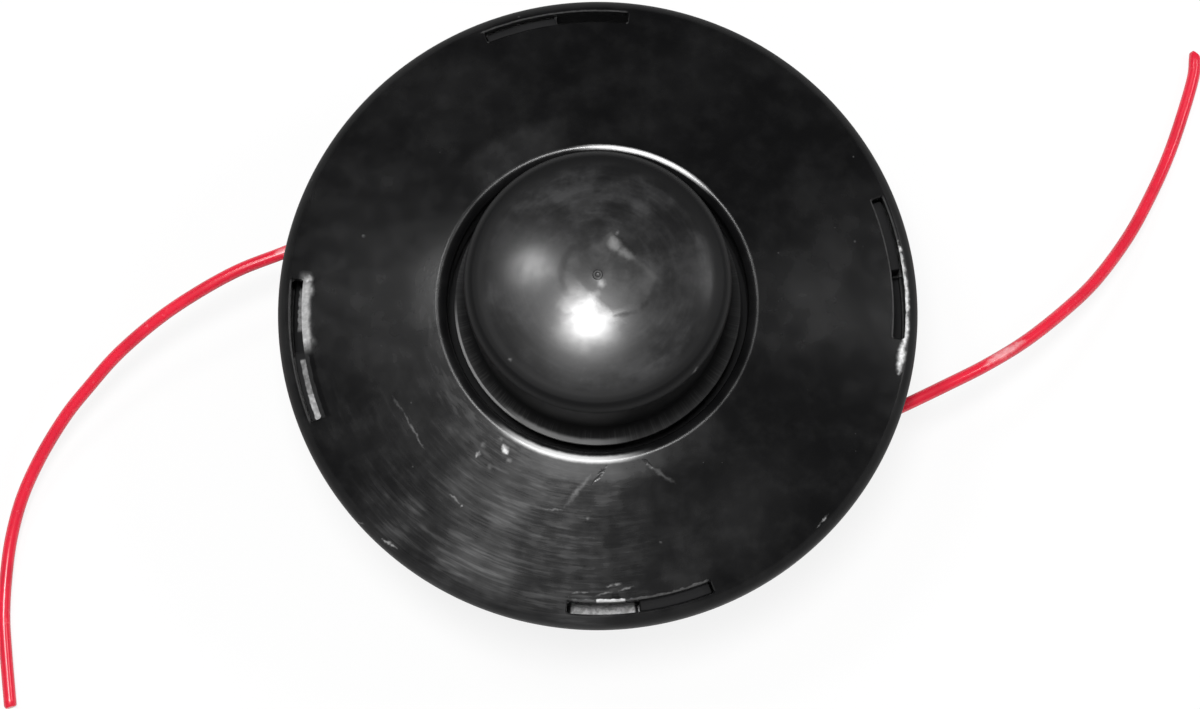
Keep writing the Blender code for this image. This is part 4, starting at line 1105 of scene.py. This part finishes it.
class Eyelets(bpy.types.Operator):
    """Make the two flared metal eyelets that the line leaves through."""

    bl_idname = "trimmer_head.eyelets"
    bl_label = "Eyelets"

    def execute(self, context):
        finish = metal_finish("zinc_plate", (0.6, 0.6, 0.58), (0.36, 0.35, 0.32), 0.22, 2600.0)
        seat, outer_end, inner_end = 60.7, 62.0, 56.8
        flare_r, flare, flange_r, bush_r = 5.4, 2.0, 7.1, 6.0
        profile = [
            *arc(flare_r, outer_end - flare, flare, 180.0, 90.0, 12),
            *rounded([(6.6, outer_end), (flange_r, outer_end, 0.35), (flange_r, seat, 0.25),
                      (bush_r, seat, 0.2), (bush_r, inner_end, 0.25), (5.6, inner_end)], closed=False),
            *arc(flare_r, inner_end + flare, flare, 270.0, 180.0, 12),
        ]
        for side, degrees in EYELET_DEGREES.items():
            eyelet = laid(turned(f"eyelet_bush_{side}", profile, 96), degrees, EYELET_Z)
            finished(eyelet, HOUSING_BODY, finish, "eyelet_zinc", f"eyelet_{side}", sharp=40.0)
        return {"FINISHED"}


class Spring(bpy.types.Operator):
    """Make the compression spring and the washers at its two ends."""

    bl_idname = "trimmer_head.spring"
    bl_label = "Spring and washers"

    def execute(self, context):
        steel = bpy.data.materials["bright_steel"]
        low, high, coil_r, wire, active = 9.0, 33.0, 14.7, 1.8, 4
        end_rise = wire + 0.3
        pitch = (high - low - 2 * end_rise) / active
        steps = 48
        points = []
        for i in range((active + 2) * steps + 1):
            turn = i / steps
            rise = end_rise * (min(turn, 1.0) + max(turn - active - 1, 0.0))
            rise += pitch * min(max(turn - 1.0, 0.0), active)
            angle = turn * math.tau
            points.append((coil_r * math.cos(angle), coil_r * math.sin(angle), low + rise))
        spring = wire_mesh("spring_coil", points, wire)
        finished(spring, HOUSING_BODY, steel, "steel", "spring", sharp=60.0)
        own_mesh(spring)
        inner, outer, thick = 12.0, 18.2, 1.0
        for name, node, base, body in (
            ("seat_washer", "spring_seat", 6.8, HOUSING_BODY),
            ("thrust_washer", "spring_washer", 34.2, WASHER_BODY),
        ):
            profile = rounded([(inner, base + thick, 0.15), (outer, base + thick, 0.3), (outer, base, 0.1),
                               (inner, base, 0.3)], count=3)
            finished(turned(name, profile, 128), body, steel, "steel", node, sharp=40.0)
        return {"FINISHED"}


class Spool(bpy.types.Operator):
    """Make the spool with its three flanges, teeth and the ring for the knob."""

    bl_idname = "trimmer_head.spool"
    bl_label = "Spool"

    def execute(self, context):
        flange_r, middle_r, soft = 54.8, 48.0, 0.5
        ring_in_r, ring_z, groove_r, plate_r = 21.2, 55.9, 22.8, 12.0
        profile = rounded([
            (ring_in_r, ring_z, 0.5), (KNOB_RING_R, ring_z, 0.6), (KNOB_RING_R, 51.7), (groove_r, 51.1),
            (groove_r, 49.5), (KNOB_RING_R, 48.9), (KNOB_RING_R, SPOOL_TOP_Z, 0.4),
            (flange_r, SPOOL_TOP_Z, soft), (flange_r, TOP_FLANGE_Z, soft), (CORE_R, TOP_FLANGE_Z, soft),
            (CORE_R, UPPER_CHAMBER_Z, soft), (middle_r, UPPER_CHAMBER_Z, soft),
            (middle_r, MIDDLE_FLANGE_Z, soft), (CORE_R, MIDDLE_FLANGE_Z, soft),
            (CORE_R, LOWER_CHAMBER_Z, soft), (flange_r, LOWER_CHAMBER_Z, soft), (flange_r, SPOOL_Z, soft),
            (CORE_IN_R, SPOOL_Z, 0.3), (CORE_IN_R, PLATE_UNDER_Z, 0.8), (plate_r, PLATE_UNDER_Z, 0.3),
            (plate_r, PLATE_TOP_Z, 0.3), (ring_in_r, PLATE_TOP_Z, 0.8),
        ])
        spool = turned("spool_moulding", profile, 144)
        lower = sectors("lower_teeth", 6, (18.8, CORE_IN_R + 0.4), (SPOOL_Z, SPOOL_Z + 4.4), TOOTH_DEGREES,
                        edge=0.25)
        upper = sectors("upper_teeth", 6, (35.1, 41.0), (SPOOL_TOP_Z - 0.4, SPOOL_TOP_Z + 3.7),
                        TOOTH_DEGREES, edge=0.35)
        spool = boolean(spool, "UNION", lower, upper)
        place = Matrix.Rotation(math.radians(75.0), 4, "Z") @ Matrix.Translation((middle_r, 0.0, 27.5))
        tools = [block("fold_slot", (21.8, 3.24, 4.0), place, 0.6)]
        for degrees in (67.0, 247.0):
            angle = math.radians(degrees)
            notch = turned(f"notch_{degrees:.0f}", [
                (0.0, 44.0), (1.7, 44.0), (1.7, 11.0), (0.0, 11.0)], 32, closed=False)
            notch.data.transform(Matrix.Translation(
                (flange_r * MM * math.cos(angle), flange_r * MM * math.sin(angle), 0.0)))
            tools.append(notch)
        spool = boolean(spool, "DIFFERENCE", *tools)
        settings = context.scene.trimmer_housing
        finished(spool, SPOOL_BODY, spool_finish(settings), "spool_grey", "spool", sharp=28.0)
        return {"FINISHED"}


class Studio(bpy.types.Operator):
    """Set up the floor, the surroundings, the lights and the camera."""

    bl_idname = "trimmer_head.studio"
    bl_label = "Studio"

    def execute(self, context):
        settings = context.scene.trimmer_studio
        scene = context.scene
        scene.view_settings.view_transform = "Standard"
        self.floor()
        self.surroundings(scene, settings.dome)
        self.lamp("main_light", (-0.05, -0.023, 1.0), 0.38, settings.main_light)
        self.lamp("left_light", (-0.346, 0.257, 1.0), 0.28, settings.left_light)
        self.lamp("right_light", (0.87, 0.25, 1.0), 0.3, settings.right_light)
        self.camera(scene, settings.camera_height)
        return {"FINISHED"}

    def floor(self):
        bm = bmesh.new()
        bmesh.ops.create_grid(bm, x_segments=1, y_segments=1, size=3.0)
        floor = from_bmesh("floor", bm)
        floor.location.z = -0.0002
        f = Finish("pale_floor")
        seen = largest(f.ray("Camera"), f.ray("Glossy"), f.ray("Transmission"))
        matt = f.node("ShaderNodeBsdfDiffuse", inputs={"Color": (0.9, 0.9, 0.9, 1.0)})
        white = f.node("ShaderNodeEmission", inputs={"Color": (1.0, 1.0, 1.0, 1.0), "Strength": 1.0})
        top = f.node("ShaderNodeMixShader", inputs={0: seen * 0.85, 1: matt, 2: white})
        clear = f.node("ShaderNodeBsdfTransparent")
        below = f.node("ShaderNodeNewGeometry", output="Backfacing")
        f.output(f.node("ShaderNodeMixShader", inputs={0: below, 1: top, 2: clear}),
                 "ShaderNodeOutputMaterial")
        floor.data.materials.append(f.material)

    def surroundings(self, scene, dome):
        """Plain grey light. Shiny pieces see it dark overhead and white towards the horizon."""
        world = bpy.data.worlds.new("studio")
        scene.world = world
        w = Nodes(world)
        way = w.node("ShaderNodeTexCoord", output="Generated")
        height = w.node("ShaderNodeSeparateXYZ", inputs={0: way}, output=2)
        horizon = 1 - w.ramp(height, 0.04, 0.22)
        shiny = largest(w.ray("Glossy"), w.ray("Transmission"))
        grey = shiny.maths("LESS_THAN", shiny, 0.5) * (dome - 0.03) + 0.03
        level = largest(w.ray("Camera"), shiny * horizon, grey)
        w.output(w.node("ShaderNodeBackground", inputs={"Color": w.joined(level, level, level)}),
                 "ShaderNodeOutputWorld")

    def lamp(self, name, direction, size, radiance):
        """A round light in a direction from the head, of a given radiance."""
        data = bpy.data.lights.new(name, "AREA")
        data.shape = "DISK"
        data.size = size
        data.energy = radiance * math.pi * math.pi * size * size / 4
        lamp = bpy.data.objects.new(name, data)
        bpy.context.scene.collection.objects.link(lamp)
        way = Vector(direction).normalized()
        lamp.location = way * LIGHT_DISTANCE
        lamp.rotation_mode = "QUATERNION"
        lamp.rotation_quaternion = way.to_track_quat("Z", "Y")
        lamp.visible_camera = False

    def camera(self, scene, elevation):
        target = Vector(CAMERA_TARGET) * MM
        back = Vector((0.0, -math.cos(elevation), math.sin(elevation)))
        data = bpy.data.cameras.new("camera")
        data.lens = CAMERA_LENS
        data.sensor_width = 36.0
        camera = bpy.data.objects.new("camera", data)
        scene.collection.objects.link(camera)
        camera.location = target + back * CAMERA_DISTANCE
        camera.rotation_mode = "QUATERNION"
        camera.rotation_quaternion = (-back).to_track_quat("-Z", "Y")
        scene.camera = camera


class Sidebar(bpy.types.Panel):
    """Lists the steps and their settings."""

    bl_idname = "TRIMMER_PT_head"
    bl_label = "Trimmer head"
    bl_space_type = "VIEW_3D"
    bl_region_type = "UI"
    bl_category = "Trimmer head"

    def draw(self, context):
        for name in SETTINGS:
            box = self.layout.box()
            group = getattr(context.scene, name)
            for prop in group.bl_rna.properties:
                if prop.identifier not in ("name", "rna_type"):
                    box.prop(group, prop.identifier)
        for step in STEPS:
            self.layout.operator(step.bl_idname)


SETTINGS = {
    "trimmer_line": LineSettings,
    "trimmer_cover": CoverSettings,
    "trimmer_knob": KnobSettings,
    "trimmer_housing": HousingSettings,
    "trimmer_studio": StudioSettings,
}
STEPS = (Studio, LineTails, LineCoils, Cover, Knob, Housing, Insert, Eyelets, Spring, Spool)


def register():
    for group in (*SETTINGS.values(), *STEPS, Sidebar):
        bpy.utils.register_class(group)
    for name, group in SETTINGS.items():
        setattr(bpy.types.Scene, name, PointerProperty(type=group))


def unregister():
    for name in SETTINGS:
        delattr(bpy.types.Scene, name)
    for group in reversed((*SETTINGS.values(), *STEPS, Sidebar)):
        bpy.utils.unregister_class(group)


def main():
    register()
    for step in STEPS:
        family, name = step.bl_idname.split(".")
        getattr(getattr(bpy.ops, family), name)()


if __name__ == "__main__":
    main()
